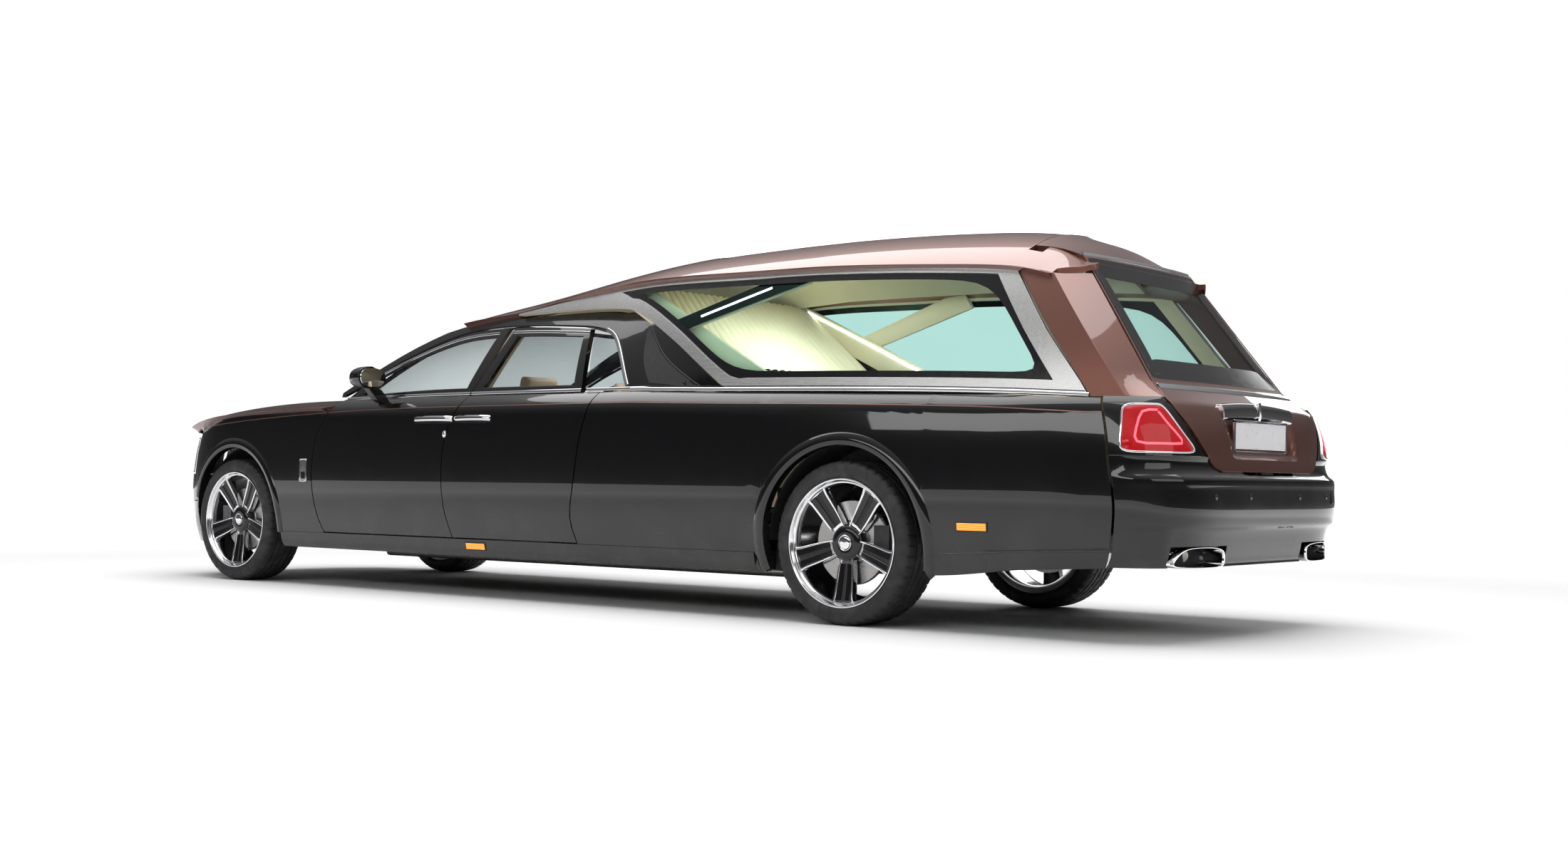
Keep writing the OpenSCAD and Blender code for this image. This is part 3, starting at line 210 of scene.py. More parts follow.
def upperY(x, z):
    return mix(bayY(x, z), cabY(x, z), max(0, min(1, (x - 700) / 850)))


def doorTop(x):
    return curve([(fa - 3150, beltH + 5), (fa - 2980, beltH + 250), (fa - 2860, beltH + 318),
                  (fa - 2600, beltH + 350), (fa - 2160, beltH + 368), (fa - 1800, beltH + 345),
                  (fa - 1450, beltH + 240), (fa - 1100, beltH + 90), (fa - 950, beltH + 14)], x)


def railTop(x):
    return curve([(fa - 3150, beltH + 360), (fa - 2980, beltH + 405), (fa - 2600, beltH + 440),
                  (fa - 2170, beltH + 440), (fa - 1800, beltH + 400), (fa - 1450, beltH + 290),
                  (fa - 1100, beltH + 130), (fa - 900, beltH + 30)], x)


def roofMid(x):
    return car["roof"] - curve([(-960, 190), (-800, 90), (-600, 42), (-200, 12), (300, 0), (700, 4),
                                (fa - 3200, 32), (fa - 2500, 125), (fa - 2000, 205), (fa - 1500, 325)], x)


def roofEdge(x):
    return curve([(-960, beltH + 430), (-740, beltH + 484), (-300, beltH + 522), (240, beltH + 550),
                  (700, beltH + 556), (1270, beltH + 560), (fa - 2930, beltH + 540), (fa - 2220, beltH + 448),
                  (fa - 1800, beltH + 405), (fa - 1500, beltH + 318)], x)


roofEdgePoints = [(x, bayY(x, roofEdge(x))) for x in (-960, -740, 240, 1270)] + [
    (fa - 2700, (bayY(1700, 1560) + cabY(1700, 1500)) / 2), (fa - 2200, cabY(2300, railTop(2300))),
    (fa - 1500, cabY(fa - 1500, railTop(fa - 1500)))]


def roofEdgeY(x):
    return curve(roofEdgePoints, x)


def roofPoint(x, v):
    e, m = roofEdge(x), roofMid(x)
    return Vector((x, v * (roofEdgeY(x) - 2), e + (m - e) * (1 - abs(v) ** 2.5)))


def shutFront(z):
    return fa - 790 + curve([(doorLow, -85), (400, -42), (560, -6), (700, 0), (860, -28), (980, -105),
                             (beltH, -190)], z)


def shutMid(z):
    return fa - 1900 + curve([(doorLow, -62), (450, -20), (620, 0), (800, -8), (930, -50), (1010, -100),
                              (beltH, -120), (beltH + 370, -325)], z)


def shutRear(z):
    return fa - 2870 + curve([(doorLow, -10), (430, 22), (600, -4), (850, -40), (1000, -82), (beltH, -100)],
                             z)


def archZ(x, cx):
    return 0 if abs(x - cx) >= archR else tyreR + math.sqrt(archR**2 - (x - cx) ** 2)


def archStations(cx, n):
    return [cx - archR * math.cos(math.pi * k / n) for k in range(n + 1)]


def wingTop(s):
    return curve([(fa - 980, 1010), (fa - 500, 1000), (fa, 982), (fa + 300, 950), (fa + 600, 890)], s)


def cabPoint(x, z, off=0):
    y = skin(x, z).y if z <= beltH else min(sideY(x, beltH), upperY(x, z))
    return Vector((x, y - off, z))


def bayPoint(x, z, off=0):
    return Vector((x, bayY(x, z) - off, z))


# Building meshes
def toFrame(p, side=1):
    return ((p[0] + axleX) / 1000, p[1] * side / 1000, p[2] / 1000)


def addPiece(name, points, faces, look, body="body", replaces=(), slot=None, side=1, bevel=0.0, angle=34):
    mesh = bpy.data.meshes.new(name)
    mesh.from_pydata([toFrame(p, side) for p in points], [], [f[::side] for f in faces])
    mesh.validate()
    mesh.update()
    piece = bpy.data.objects.new(name, mesh)
    bpy.context.scene.collection.objects.link(piece)
    mesh.materials.append(looks[look])
    mesh.shade_smooth()
    mesh.set_sharp_from_angle(angle=math.radians(angle))
    if bevel:
        edge = piece.modifiers.new("edge", "BEVEL")
        edge.width, edge.segments, edge.limit_method = bevel / 1000, 2, "ANGLE"
        edge.angle_limit, edge.harden_normals = math.radians(angle + 8), True
    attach(piece, body)
    if replaces:
        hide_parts(*([replaces] if isinstance(replaces, str) else replaces))
    return piece


def gridFaces(m, n, skips=(), far=0):
    kept = [[not any(i0 <= i < i1 and j0 <= j < j1 for i0, i1, j0, j1 in skips) for j in range(n - 1)]
            for i in range(m - 1)]

    def has(i, j):
        return 0 <= i < m - 1 and 0 <= j < n - 1 and kept[i][j]

    faces = []
    for i in range(m - 1):
        for j in range(n - 1):
            if not kept[i][j]:
                continue
            a, b, d, c = i * n + j, i * n + j + 1, (i + 1) * n + j, (i + 1) * n + j + 1
            faces += [(a, b, c, d), (far + a, far + d, far + c, far + b)]
            if not has(i, j - 1):
                faces.append((a, d, far + d, far + a))
            if not has(i, j + 1):
                faces.append((c, b, far + b, far + c))
            if not has(i - 1, j):
                faces.append((b, a, far + a, far + b))
            if not has(i + 1, j):
                faces.append((d, c, far + c, far + d))
    return faces


def flipped(mesh):
    return mesh[0], [f[::-1] for f in mesh[1]]


def pair(name, mesh, look, body="body", both=True, **more):
    # A piece and its mirror image; {} in the name of a body or node stands for the side
    made = []
    for word, side in sides if both else (("", 1),):
        own = {k: v.format(word.lower()) if isinstance(v, str) else v for k, v in more.items()}
        made.append(addPiece(name + word, *mesh, look, body.format(word.lower()), side=side, **own))
    return made


def shell(name, us, vs, outer, inner, look, body="body", skips=(), flip=False, **more):
    # A closed panel between two surfaces over the same grid, or between two depths under one surface
    if not callable(inner):
        place, (near, far) = outer, inner
        outer, inner = (lambda u, v: place(u, v, near)), (lambda u, v: place(u, v, far))
    points = [outer(u, v) for u in us for v in vs] + [inner(u, v) for u in us for v in vs]
    mesh = points, gridFaces(len(us), len(vs), skips, len(us) * len(vs))
    pair(name, flipped(mesh) if flip else mesh, look, body, **more)


def border(us, vs):                              # once round the edge of a grid
    return ([(u, vs[0]) for u in us] + [(us[-1], v) for v in vs[1:]] + [(u, vs[-1]) for u in us[-2::-1]]
            + [(us[0], v) for v in vs[-2:0:-1]])


def smoothed(loop, passes):                      # a closed loop with its corners rounded
    for _ in range(passes):
        nexts = loop[1:] + loop[:1]
        trios = zip(loop[-1:] + loop[:-1], loop, nexts)
        loop = [tuple((a + 2 * b + c) / 4 for a, b, c in zip(*trio)) for trio in trios]
    return loop


def between(points, n, closed=False):            # evenly spaced points along each leg of a line
    nexts = points[1:] + (points[:1] if closed else [])
    dense = [tuple(mix(a, b, k / n) for a, b in zip(p, q)) for p, q in zip(points, nexts) for k in range(n)]
    return dense if closed else dense + [points[-1]]


def loft(rings, caps=True):
    n = len(rings[0])
    points = [p for ring in rings for p in ring]
    faces = []
    for i in range(len(rings) - 1):
        for j in range(n):
            k = (j + 1) % n
            faces.append((i * n + j, i * n + k, (i + 1) * n + k, (i + 1) * n + j))
    if caps:
        faces.append(tuple(range(n))[::-1])
        faces.append(tuple((len(rings) - 1) * n + j for j in range(n)))
    return points, faces


def barProfile(width, height, round=0.35):       # a low bar's section: flat base, rounded top
    w, r = width / 2, min(width / 2, height) * round * 2
    top = [(w - r + r * math.sin(a), height - r + r * math.cos(a)) for a in steps(math.pi / 2, 0, 3)]
    return [(-w, 0)] + [(-x, y) for x, y in top] + [(x, y) for x, y in top[::-1]] + [(w, 0)]


def sweep(path, outs, profile, closed=False):    # carries a section of (across, out) along a path
    rings, n = [], len(path)
    outs = [outs] * n if isinstance(outs, tuple) else outs
    for i, p in enumerate(path):
        a = path[(i - 1) % n] if closed or i > 0 else p
        b = path[(i + 1) % n] if closed or i < n - 1 else p
        along = (Vector(b) - Vector(a)).normalized()
        out = Vector(outs[i]).normalized()
        across = out.cross(along).normalized()
        out = along.cross(across).normalized()
        rings.append([Vector(p) + x * across + y * out for x, y in profile])
    if closed:
        rings.append(rings[0])
    return loft(rings, not closed)


def strip(name, path, outs, profile, look, body="body", closed=False, **more):
    pair(name, flipped(sweep(path, outs, profile, closed)), look, body, **more)


def lathe(profile, n, shape=None):               # turns (radius, y) round the Y axis
    points, m = [], len(profile)
    for k in range(n):
        for r, y in profile:
            r = shape(r, y, k) if shape else r
            points.append((r * math.cos(2 * math.pi * k / n), y, r * math.sin(2 * math.pi * k / n)))
    pairs = [(k * m + j, (k + 1) % n * m + j) for k in range(n) for j in range(m - 1)]
    return points, [(a, b, b + 1, a + 1) for a, b in pairs]


def merged(*parts):
    points, faces = [], []
    for p, f in parts:
        base = len(points)
        points += list(p)
        faces += [tuple(i + base for i in face) for face in f]
    return points, faces


def moved(part, at=(0, 0, 0), turn=None):
    m = Matrix.Translation(Vector(at)) @ (turn or Matrix.Identity(4))
    return [m @ Vector(p) for p in part[0]], part[1]


def block(low, high, cut=3):                     # a box with broken edges
    (x0, y0, z0), (x1, y1, z1) = low, high
    c = min(cut, (x1 - x0) / 3, (y1 - y0) / 3, (z1 - z0) / 3)
    rings = []
    for z, e in ((z0, c), (z0 + c, 0), (z1 - c, 0), (z1, c)):
        a, b, d, f = x0 + e, x1 - e, y0 + e, y1 - e
        rings.append([(a + c, d, z), (b - c, d, z), (b, d + c, z), (b, f - c, z), (b - c, f, z),
                      (a + c, f, z), (a, f - c, z), (a, d + c, z)])
    return loft(rings)


def pad(size, at, lean=0.0, channels=0, crown=18, tuck=10, n=22):
    # A stuffed pad: crowned face, sides that pull in between the corners, sewn channels across it
    sx, sy, sz = size
    points, faces = [], []
    for f, side in enumerate((1, -1)):
        for i in range(n + 1):
            for j in range(n + 1):
                u, v = 2 * i / n - 1, 2 * j / n - 1
                edge = (1 - abs(u) ** 6) * (1 - abs(v) ** 6)
                pull = 1 - tuck / max(sx, sy) * (1 - abs(edge))
                groove = 0
                if channels and side > 0:
                    near = abs(((v + 1) / 2 * channels) % 1 - 0.5)
                    groove = 7 * math.exp(-((0.5 - near) / 0.06) ** 2)
                h = side * (sz / 2 * edge ** 0.35 + (crown * edge if side > 0 else 0)) - groove * edge
                points.append(Vector((u * sx / 2 * pull, v * sy / 2 * pull, h)))
        base = f * (n + 1) ** 2
        for i in range(n):
            for j in range(n):
                a = base + i * (n + 1) + j
                quad = (a, a + n + 1, a + n + 2, a + 1)
                faces.append(quad if side > 0 else quad[::-1])
    rim = [i * (n + 1) for i in range(n + 1)] + [n * (n + 1) + j for j in range(1, n + 1)]
    rim += [i * (n + 1) + n for i in range(n - 1, -1, -1)] + [j for j in range(n - 1, 0, -1)]
    far = (n + 1) ** 2
    for a, b in zip(rim, rim[1:] + rim[:1]):
        faces.append((b, a, a + far, b + far))
    return moved((points, faces), at, Matrix.Rotation(lean, 4, "Y"))


# Materials
class Link:                                      # a node's output, for use in sums and products
    def __init__(self, shade, socket):
        self.shade, self.socket = shade, socket

    def maths(self, operation, *values):
        return self.shade.node("ShaderNodeMath", {"operation": operation}, dict(enumerate(values)))

    def __add__(self, other):
        return self.maths("ADD", self, other)

    def __mul__(self, other):
        return self.maths("MULTIPLY", self, other)

    def __sub__(self, other):
        return self.maths("SUBTRACT", self, other)

    def __rsub__(self, other):
        return self.maths("SUBTRACT", other, self)

    def __pow__(self, other):
        return self.maths("POWER", self, other)

    __radd__, __rmul__ = __add__, __mul__

    def within(self, low, high, toLow=0.0, toHigh=1.0):
        return self.shade.node("ShaderNodeMapRange", {"interpolation_type": "SMOOTHSTEP"},
                               {0: self, 1: low, 2: high, 3: toLow, 4: toHigh})


class Shade:                                     # one material under construction
    def __init__(self, name, base, rough, metal=0.0, **fixed):
        self.material = bpy.data.materials.new(name)
        self.material.use_nodes = True
        self.tree = self.material.node_tree
        self.surface = next(n for n in self.tree.nodes if n.type == "BSDF_PRINCIPLED")
        self.put("Base Color", (*base, 1) if isinstance(base, tuple) else base)
        self.put("Roughness", rough)
        self.put("Metallic", metal)
        for key, value in fixed.items():
            self.put(key.replace("_", " ").title().replace("Ior", "IOR"), value)

    def put(self, key, value, node=None):
        target = (node or self.surface).inputs[key]
        if isinstance(value, Link):
            self.tree.links.new(value.socket, target)
        else:
            target.default_value = value

    def node(self, kind, settings=None, sockets=None, out=0):
        made = self.tree.nodes.new(kind)
        for key, value in (settings or {}).items():
            if key == "stops":
                while len(made.color_ramp.elements) < len(value):
                    made.color_ramp.elements.new(0.5)
                for stop, (at, colour) in zip(made.color_ramp.elements, value):
                    stop.position, stop.color = at, (*colour, 1)
            else:
                setattr(made, key, value)
        for key, value in (sockets or {}).items():
            self.put(key, value, made)
        return Link(self, made.outputs[out])

    def place(self):
        return self.node("ShaderNodeTexCoord", out=3)

    def noise(self, scale, detail=3, where=None, rough=0.5):
        return self.node("ShaderNodeTexNoise", {}, {"Vector": where or self.place(), "Scale": scale,
                                                    "Detail": detail, "Roughness": rough})

    def stretched(self, x, y, z):
        return self.node("ShaderNodeMapping", {}, {"Vector": self.place(), "Scale": (x, y, z)})

    def height(self):
        return self.node("ShaderNodeSeparateXYZ", {}, {0: self.place()}, 2)

    def blend(self, mask, a, b):
        made = self.tree.nodes.new("ShaderNodeMix")
        made.data_type = "RGBA"
        for key, value in ((0, mask), (6, a), (7, b)):
            self.put(key, (*value, 1) if isinstance(value, tuple) else value, made)
        return Link(self, made.outputs[2])

    def bump(self, height, strength, distance=0.001):
        self.put("Normal", self.node("ShaderNodeBump", {}, {"Height": height, "Strength": strength,
                                                            "Distance": distance}))


def paintLook(name, base, dark, metal, flake):
    s = Shade(name, base, 0.1, metal, coat_weight=1.0, coat_roughness=0.02, coat_ior=1.5,
              specular_ior_level=0.1)
    road = s.height().within(0.75, 0.15) * s.noise(5, 6).within(0.35, 0.75)        # road film, low down
    fine = s.noise(2600, 1)
    s.put("Base Color", s.blend(road * 0.35, s.blend(fine.within(0.35, 0.65) * flake, base, dark),
                                (0.06, 0.055, 0.05)))
    s.put("Roughness", road * 0.3 + (0.16 + 0.2 * metal))
    s.bump(s.noise(160, 2), 0.02, 0.0004)
    return s.material


def metalLook(name, base, rough, grain=(40, 900, 900), strength=0.04, dirt=0.0):
    s = Shade(name, base, rough, 1.0)
    lines = s.noise(1, 4, s.stretched(*grain))
    s.put("Roughness", lines.within(0.3, 0.7, rough * 0.75, rough * 1.35))
    s.put("Base Color", s.blend(s.noise(14, 5).within(0.55, 0.8) * dirt, base, tuple(0.35 * c for c in base)))
    s.bump(lines, strength, 0.0003)
    return s.material


def plasticLook(name, base, rough, grain=700, strength=0.12):
    s = Shade(name, base, rough)
    cell = s.node("ShaderNodeTexVoronoi", {}, {"Vector": s.place(), "Scale": grain})
    s.put("Roughness", s.noise(30, 4).within(0.3, 0.7, rough * 0.9, min(1, rough * 1.15)))
    s.put("Base Color", s.blend(s.noise(9, 5).within(0.5, 0.85) * 0.3, base,
                                tuple(min(1, c * 1.6 + 0.004) for c in base)))
    s.bump(cell, strength, 0.0004)
    return s.material


def leatherLook(name, base):
    s = Shade(name, base, 0.45, sheen_weight=0.15)
    cell = s.node("ShaderNodeTexVoronoi", {"feature": "DISTANCE_TO_EDGE"},
                  {"Vector": s.place(), "Scale": 420})
    s.put("Base Color", s.blend(s.noise(7, 5).within(0.4, 0.8) * 0.35, base, tuple(c * 0.7 for c in base)))
    s.put("Roughness", s.noise(25, 3).within(0.3, 0.7, 0.38, 0.56))
    s.bump(cell.within(0, 0.25), 0.25, 0.0005)
    return s.material


def clothLook(name, base):
    s = Shade(name, base, 0.9, sheen_weight=0.3)
    warp = s.node("ShaderNodeTexWave", {"bands_direction": "X"},
                  {"Vector": s.place(), "Scale": 260, "Distortion": 1.5})
    weft = s.node("ShaderNodeTexWave", {"bands_direction": "Y"},
                  {"Vector": s.place(), "Scale": 260, "Distortion": 1.5})
    weave = warp * weft
    s.put("Base Color", s.blend(weave * 0.5, base, tuple(c * 0.82 for c in base)))
    s.bump(weave, 0.25, 0.0006)
    return s.material


def glassLook(name, tint, cover, rough=0.0):
    # A thin pane: what passes is tinted, and the gloss grows towards grazing angles
    s = Shade(name, (0.02, 0.022, 0.022), rough, 0.0, specular_ior_level=1.0)
    through = s.tree.nodes.new("ShaderNodeBsdfTransparent")
    through.inputs[0].default_value = (*tint, 1)
    fresnel = s.node("ShaderNodeLayerWeight", {}, {"Blend": 0.5}, 1) ** 5
    film = s.noise(3, 4).within(0.4, 0.8) * 0.012
    s.put("Roughness", s.noise(60, 3).within(0.6, 0.9) * 0.05 + 0.01)
    mixer = s.tree.nodes.new("ShaderNodeMixShader")
    s.put(0, fresnel * (1 - cover) + cover + film, mixer)
    s.tree.links.new(through.outputs[0], mixer.inputs[1])
    s.tree.links.new(s.surface.outputs[0], mixer.inputs[2])
    out = next(n for n in s.tree.nodes if n.type == "OUTPUT_MATERIAL")
    s.tree.links.new(mixer.outputs[0], out.inputs[0])
    return s.material


def lensLook(name, base, glow, ribs=160):
    s = Shade(name, base, 0.12, coat_weight=0.6, coat_roughness=0.03, specular_ior_level=0.2)
    line = s.node("ShaderNodeTexWave", {"bands_direction": "Y"}, {"Vector": s.place(), "Scale": ribs})
    s.put("Base Color", s.blend(line, base, tuple(c * 0.55 for c in base)))
    s.put("Emission Color", s.blend(line, base, tuple(c * 0.6 for c in base)))
    s.put("Emission Strength", glow)
    s.bump(line, 0.3, 0.001)
    return s.material


def glowLook(name, colour, power):
    s = Shade(name, colour, 0.4)
    dots = s.node("ShaderNodeTexVoronoi", {}, {"Vector": s.place(), "Scale": 90})
    s.put("Emission Color", s.blend(dots.within(0.2, 0.6), colour, tuple(0.8 * c for c in colour)))
    s.put("Emission Strength", power)
    return s.material


def rubberLook():
    s = Shade("tyreRubber", (0.018, 0.018, 0.019), 0.7)
    grit = s.noise(900, 3)
    s.put("Base Color", s.blend(s.noise(16, 6).within(0.45, 0.8), (0.014, 0.014, 0.015),
                                (0.034, 0.033, 0.032)))
    s.put("Roughness", s.noise(22, 4).within(0.3, 0.8, 0.52, 0.8))
    s.bump(grit, 0.2, 0.0006)
    return s.material


looks = {
    "black": paintLook("blackPaint", (0.0035, 0.0035, 0.004), (0.007, 0.007, 0.008), 0.0, 0.4),
    "copper": paintLook("copperPaint", (0.155, 0.062, 0.046), (0.26, 0.115, 0.085), 0.7, 0.7),
    "steel": metalLook("brushedSteel", (0.60, 0.60, 0.59), 0.30, (8, 1500, 2600), 0.008),
    "chrome": metalLook("chromeTrim", (0.78, 0.78, 0.79), 0.07, (60, 60, 60), 0.01),
    "polished": metalLook("polishedAlloy", (0.80, 0.80, 0.81), 0.12, (120, 120, 120), 0.02, 0.25),
    "cast": metalLook("castMetal", (0.16, 0.16, 0.165), 0.5, (90, 90, 90), 0.3, 0.7),
    "disc": metalLook("discSteel", (0.45, 0.44, 0.43), 0.3, (300, 20, 300), 0.1, 0.3),
    "exhaust": metalLook("exhaustSteel", (0.42, 0.40, 0.37), 0.35, (90, 90, 90), 0.2, 0.8),
    "blackGloss": plasticLook("blackGloss", (0.006, 0.006, 0.007), 0.12, 300, 0.01),
    "blackMatt": plasticLook("blackMatt", (0.016, 0.016, 0.017), 0.6),
    "frit": plasticLook("glassFrit", (0.004, 0.004, 0.005), 0.15, 900, 0.02),
    "chassis": plasticLook("chassisCoat", (0.03, 0.03, 0.031), 0.75, 260, 0.4),
    "grey": plasticLook("greyTrim", (0.07, 0.075, 0.08), 0.5, 500, 0.15),
    "cream": clothLook("creamCloth", (0.80, 0.70, 0.50)),
    "leather": leatherLook("beigeLeather", (0.50, 0.40, 0.28)),
    "darkLeather": leatherLook("darkLeather", (0.02, 0.02, 0.022)),
    "deck": metalLook("deckBlue", (0.02, 0.05, 0.16), 0.35, (4, 200, 200), 0.1),
    "glass": glassLook("clearGlass", (0.84, 0.955, 0.935), 0.02),
    "doorGlass": glassLook("doorGlass", (0.94, 0.965, 0.965), 0.02),
    "darkGlass": glassLook("tintedGlass", (0.78, 0.81, 0.81), 0.05),
    "lampGlass": glassLook("lampGlass", (0.93, 0.94, 0.95), 0.03),
    "mirrorGlass": metalLook("mirrorGlass", (0.85, 0.86, 0.88), 0.02, (5, 5, 5), 0.0),
    "redLens": lensLook("redLens", (0.42, 0.002, 0.005), 0.45),
    "redGlow": glowLook("redGlow", (1.0, 0.10, 0.14), 1.7),
    "amber": lensLook("amberLens", (0.85, 0.20, 0.02), 2.2, 300),
    "led": glowLook("ledStrip", (0.93, 0.95, 1.0), 9.0),
    "plate": plasticLook("plateWhite", (0.75, 0.75, 0.76), 0.3, 60, 0.02),
    "rubber": rubberLook(),
}
print("materials made")


# Lower body panels
doorRows = [0, 0.1, 0.24, 0.4, 0.56, 0.72, 0.85, 0.92, 0.965, 1]
frameRows = [0.004, 0.1, 0.48, 0.88, 1]
fine = 3                                         # how many times finer the panels are than their CAD solids


def sidePanelAt(x, v, off=0):
    low = max(skirtZ(x) if x > 440 else sillZ(x), archZ(x, 0))
    z = mix(low, belt(x), v)
    front = fa - 2870
    w = curve([(650, 0), (950, 1 / 3), (1250, 2 / 3), (front, 1)], x) if x > 650 else 0
    return skinOff(x + (shutRear(z) - gap - front) * w, z, -off)


def frontWingAt(x, v, off=0):
    low = max(skirtZ(x), 470 if x > fa + archR else 0, archZ(x, fa))
    z = mix(low, wingTop(x), v)
    w = max(0, min(1, 1 - (x - fa + 790) / 354))
    return skinOff(x + (shutFront(z) + gap + 1 - fa + 790) * w, z, -off)


rearStations = refine([tailShut + gap, tailS - 210, tailS - 60, -archR - 150, -archR - 50], fine)
rearStations += archStations(0, 48) + refine([archR + 60, 650, 950, 1250, fa - 2870], fine + 1)
shell("sidePanel", rearStations, refine(doorRows, 2), sidePanelAt, (0, car["wall"]),
      "black", replaces="side_panels", slot="gloss_black", bevel=2)
wingStations = refine([fa - 790, fa - 672, fa - 554, fa - 436], fine) + archStations(fa, 42) \
    + refine([fa + archR + 4, fa + archR + 60], 2)
wingRows = [r * (beltH - doorLow) / (wingTop(fa - 790) - doorLow) for r in doorRows[:7]] + [1]
shell("frontWing", wingStations, refine(wingRows, 3), frontWingAt, (0, car["wall"]),
      "black", replaces="front_wings", slot="gloss_black", bevel=2)


def sillAt(s, k, deep=False):
    z = mix(sillLow, doorLow - gap, k)
    return Vector((s, halfW - 200 if deep else sideY(s, z) - 12 * max(0, 1 - k * 3.6), z))


shell("sill", refine([archR + 63, 900, fa - 3000, fa - 2600, fa - 1500, fa - archR - 20], 5), steps(0, 1, 7),
      sillAt, (False, True), "black", replaces="sills", slot="gloss_black", bevel=2)


def doorAt(c, r, lineF, lineR, feet, tops):       # r runs to 1 at the belt and on to 2 at the frame's top
    if r <= 1:
        z = mix(doorLow, beltH, r)
        return mix(lineR(z), lineF(z), c), z
    x0, x1 = mix(feet[1], feet[0], c), mix(tops[1], tops[0], c)
    return mix(x0, x1, r - 1), mix(beltH, doorTop(x1) - gap, r - 1)


def midF(z):
    return shutMid(z) + gap / 2


def midR(z):
    return shutMid(z) - gap / 2


doorSizes = {"paneInset": 14, "lipInset": 11, "trimInset": 9, "armRest": 420, "sillTrim": (17, 5),
             "headTrim": (15, 4)}
doorShapes = {
    "front": {"lines": (shutFront, midF, (shutFront(beltH), midF(beltH)), (fa - 1130, fa - 2140)),
              "columns": [0, 0.05, 0.3, 0.55, 0.78, 0.92, 1], "glass": "doorGlass"},
    "rear": {"lines": (midR, shutRear, (midR(beltH), fa - 2842), (fa - 2200, fa - 2760)),
             "columns": [0, 0.07, 0.35, 0.6, 0.93, 1], "glass": "darkGlass"}}
for word, shape in doorShapes.items():
    lines, columns = shape["lines"], shape["columns"]
    last = (len(columns) - 1) * 4
    rows = refine(doorRows, 2) + [1 + w for w in refine(frameRows, 4)]
    firstPane = (len(doorRows) - 1) * 2 + 1 + 4

    def outside(c, r):
        return cabPoint(*doorAt(c, r, *lines))

    def inside(c, r):
        x, z = doorAt(c, r, *lines)
        thick = mix(car["doorThick"], car["frameThick"], max(0, min(1, (z - beltH + 110) / 60)))
        return cabPoint(x, z, thick) + Vector(((14 if c == 0 else -14 if c == 1 else 0), 0, 0))

    shell(word + "Door", refine(columns, 4), rows, outside, inside, "black", word + "_door_{}",
          skips=[(4, last - 4, firstPane, firstPane + 8)], replaces=word + "_door_{}", slot="gloss_black",
          bevel=2)
    paneCs = refine(columns[1:-1], 4)
    paneRs = [1 + w for w in refine(frameRows[1:4], 4)]
    shell(word + "DoorGlass", paneCs, paneRs,
          lambda c, r: outside(c, r) - Vector((0, doorSizes["paneInset"], 0)),
          lambda c, r: outside(c, r) - Vector((0, doorSizes["paneInset"] + car["glass"], 0)),
          shape["glass"], word + "_door_{}",
          replaces=word + "_door_glass_{}", slot="clear_glass" if word == "front" else "tinted_glass")
    # Bright trim round the glass, and the rubber lip under it
    path = [outside(c, r) for c, r in border(paneCs, paneRs)]
    strip(word + "DoorLip", [p - Vector((0, doorSizes["lipInset"], 0)) for p in path], (0, 1, 0),
          barProfile(13, 8), "blackMatt", word + "_door_{}", closed=True)
    foot = [outside(c, 1.035) + Vector((0, -1, 0)) for c in refine(columns, 5)]
    strip(word + "DoorSillTrim", foot, (0, 1, 0.3), barProfile(*doorSizes["sillTrim"]), "chrome",
          word + "_door_{}")
    head = [outside(c, 1.935) + Vector((0, -1, 0)) for c in refine(columns[0 if word == "rear" else 1:], 6)]
    strip(word + "DoorHeadTrim", head, (0, 1, 0.2), barProfile(*doorSizes["headTrim"]), "chrome",
          word + "_door_{}")
    # Inner trim panel with an arm rest
    panel = [0.12, 0.3, 0.5, 0.7, 0.88]
    shell(word + "DoorTrim", refine(panel, 4), refine([0.22, 0.5, 0.8], 4),
          lambda c, r: inside(c, r) - Vector((0, doorSizes["trimInset"], 0)),
          lambda c, r: inside(c, r) + Vector((0, 1, 0)), "leather", word + "_door_{}", flip=True, bevel=3)
    rest = inside(0.5, 0.62)
    half = doorSizes["armRest"] / 2
    pair(word + "ArmRest", block((rest.x - half, rest.y - 70, rest.z - 22),
                                 (rest.x + half, rest.y - 6, rest.z + 22), 14), "darkLeather",
         word + "_door_{}")
print("doors made")


# Nose
def bumperEnd(z):
    return fa + archR + (60 + gap if z > 470 - gap else 4)


def nosePoint(u, z, end, tip, off=0):
    s = mix(tip, end(z), abs(u))
    p = skinOff(s, z, -off)
    return Vector((p.x, 0 if u == 0 and off else math.copysign(p.y, u) if u else p.y, z if not off else p.z))


def frontBumperAt(u, z, off=0):
    return nosePoint(u, z, bumperEnd, noseEnd, off)


noseUs = [1, 0.9, 0.75, 0.62, 0.5, 0.34, 0.17, 0, -0.17, -0.34, -0.5, -0.62, -0.75, -0.9, -1]
noseZs = [sillLow, 260, 330, 400, 469 - gap, 471 - gap, 560, 631.8]
shell("frontBumper", refine(noseUs, 4), refine(noseZs, 2), frontBumperAt,
      (0, car["wall"]), "black", both=False,
      skips=[(16, 40, 6, 14)], replaces="front_bumper", slot="gloss_black", bevel=2)
grilleSizes = {"reach": 0.47, "inner": 0.452, "vanes": 41, "rails": (505, 600, 692, 784), "rail": (12, 10),
               "vane": [(-4, -22), (-4, 0), (-2, 6), (2, 6), (4, 0), (4, -22)]}


def lampEnd(z):
    return fa + archR + 60 + gap


def grilleAt(u, z, off=0):
    return nosePoint(u, z, lampEnd, noseEnd - 1, off)


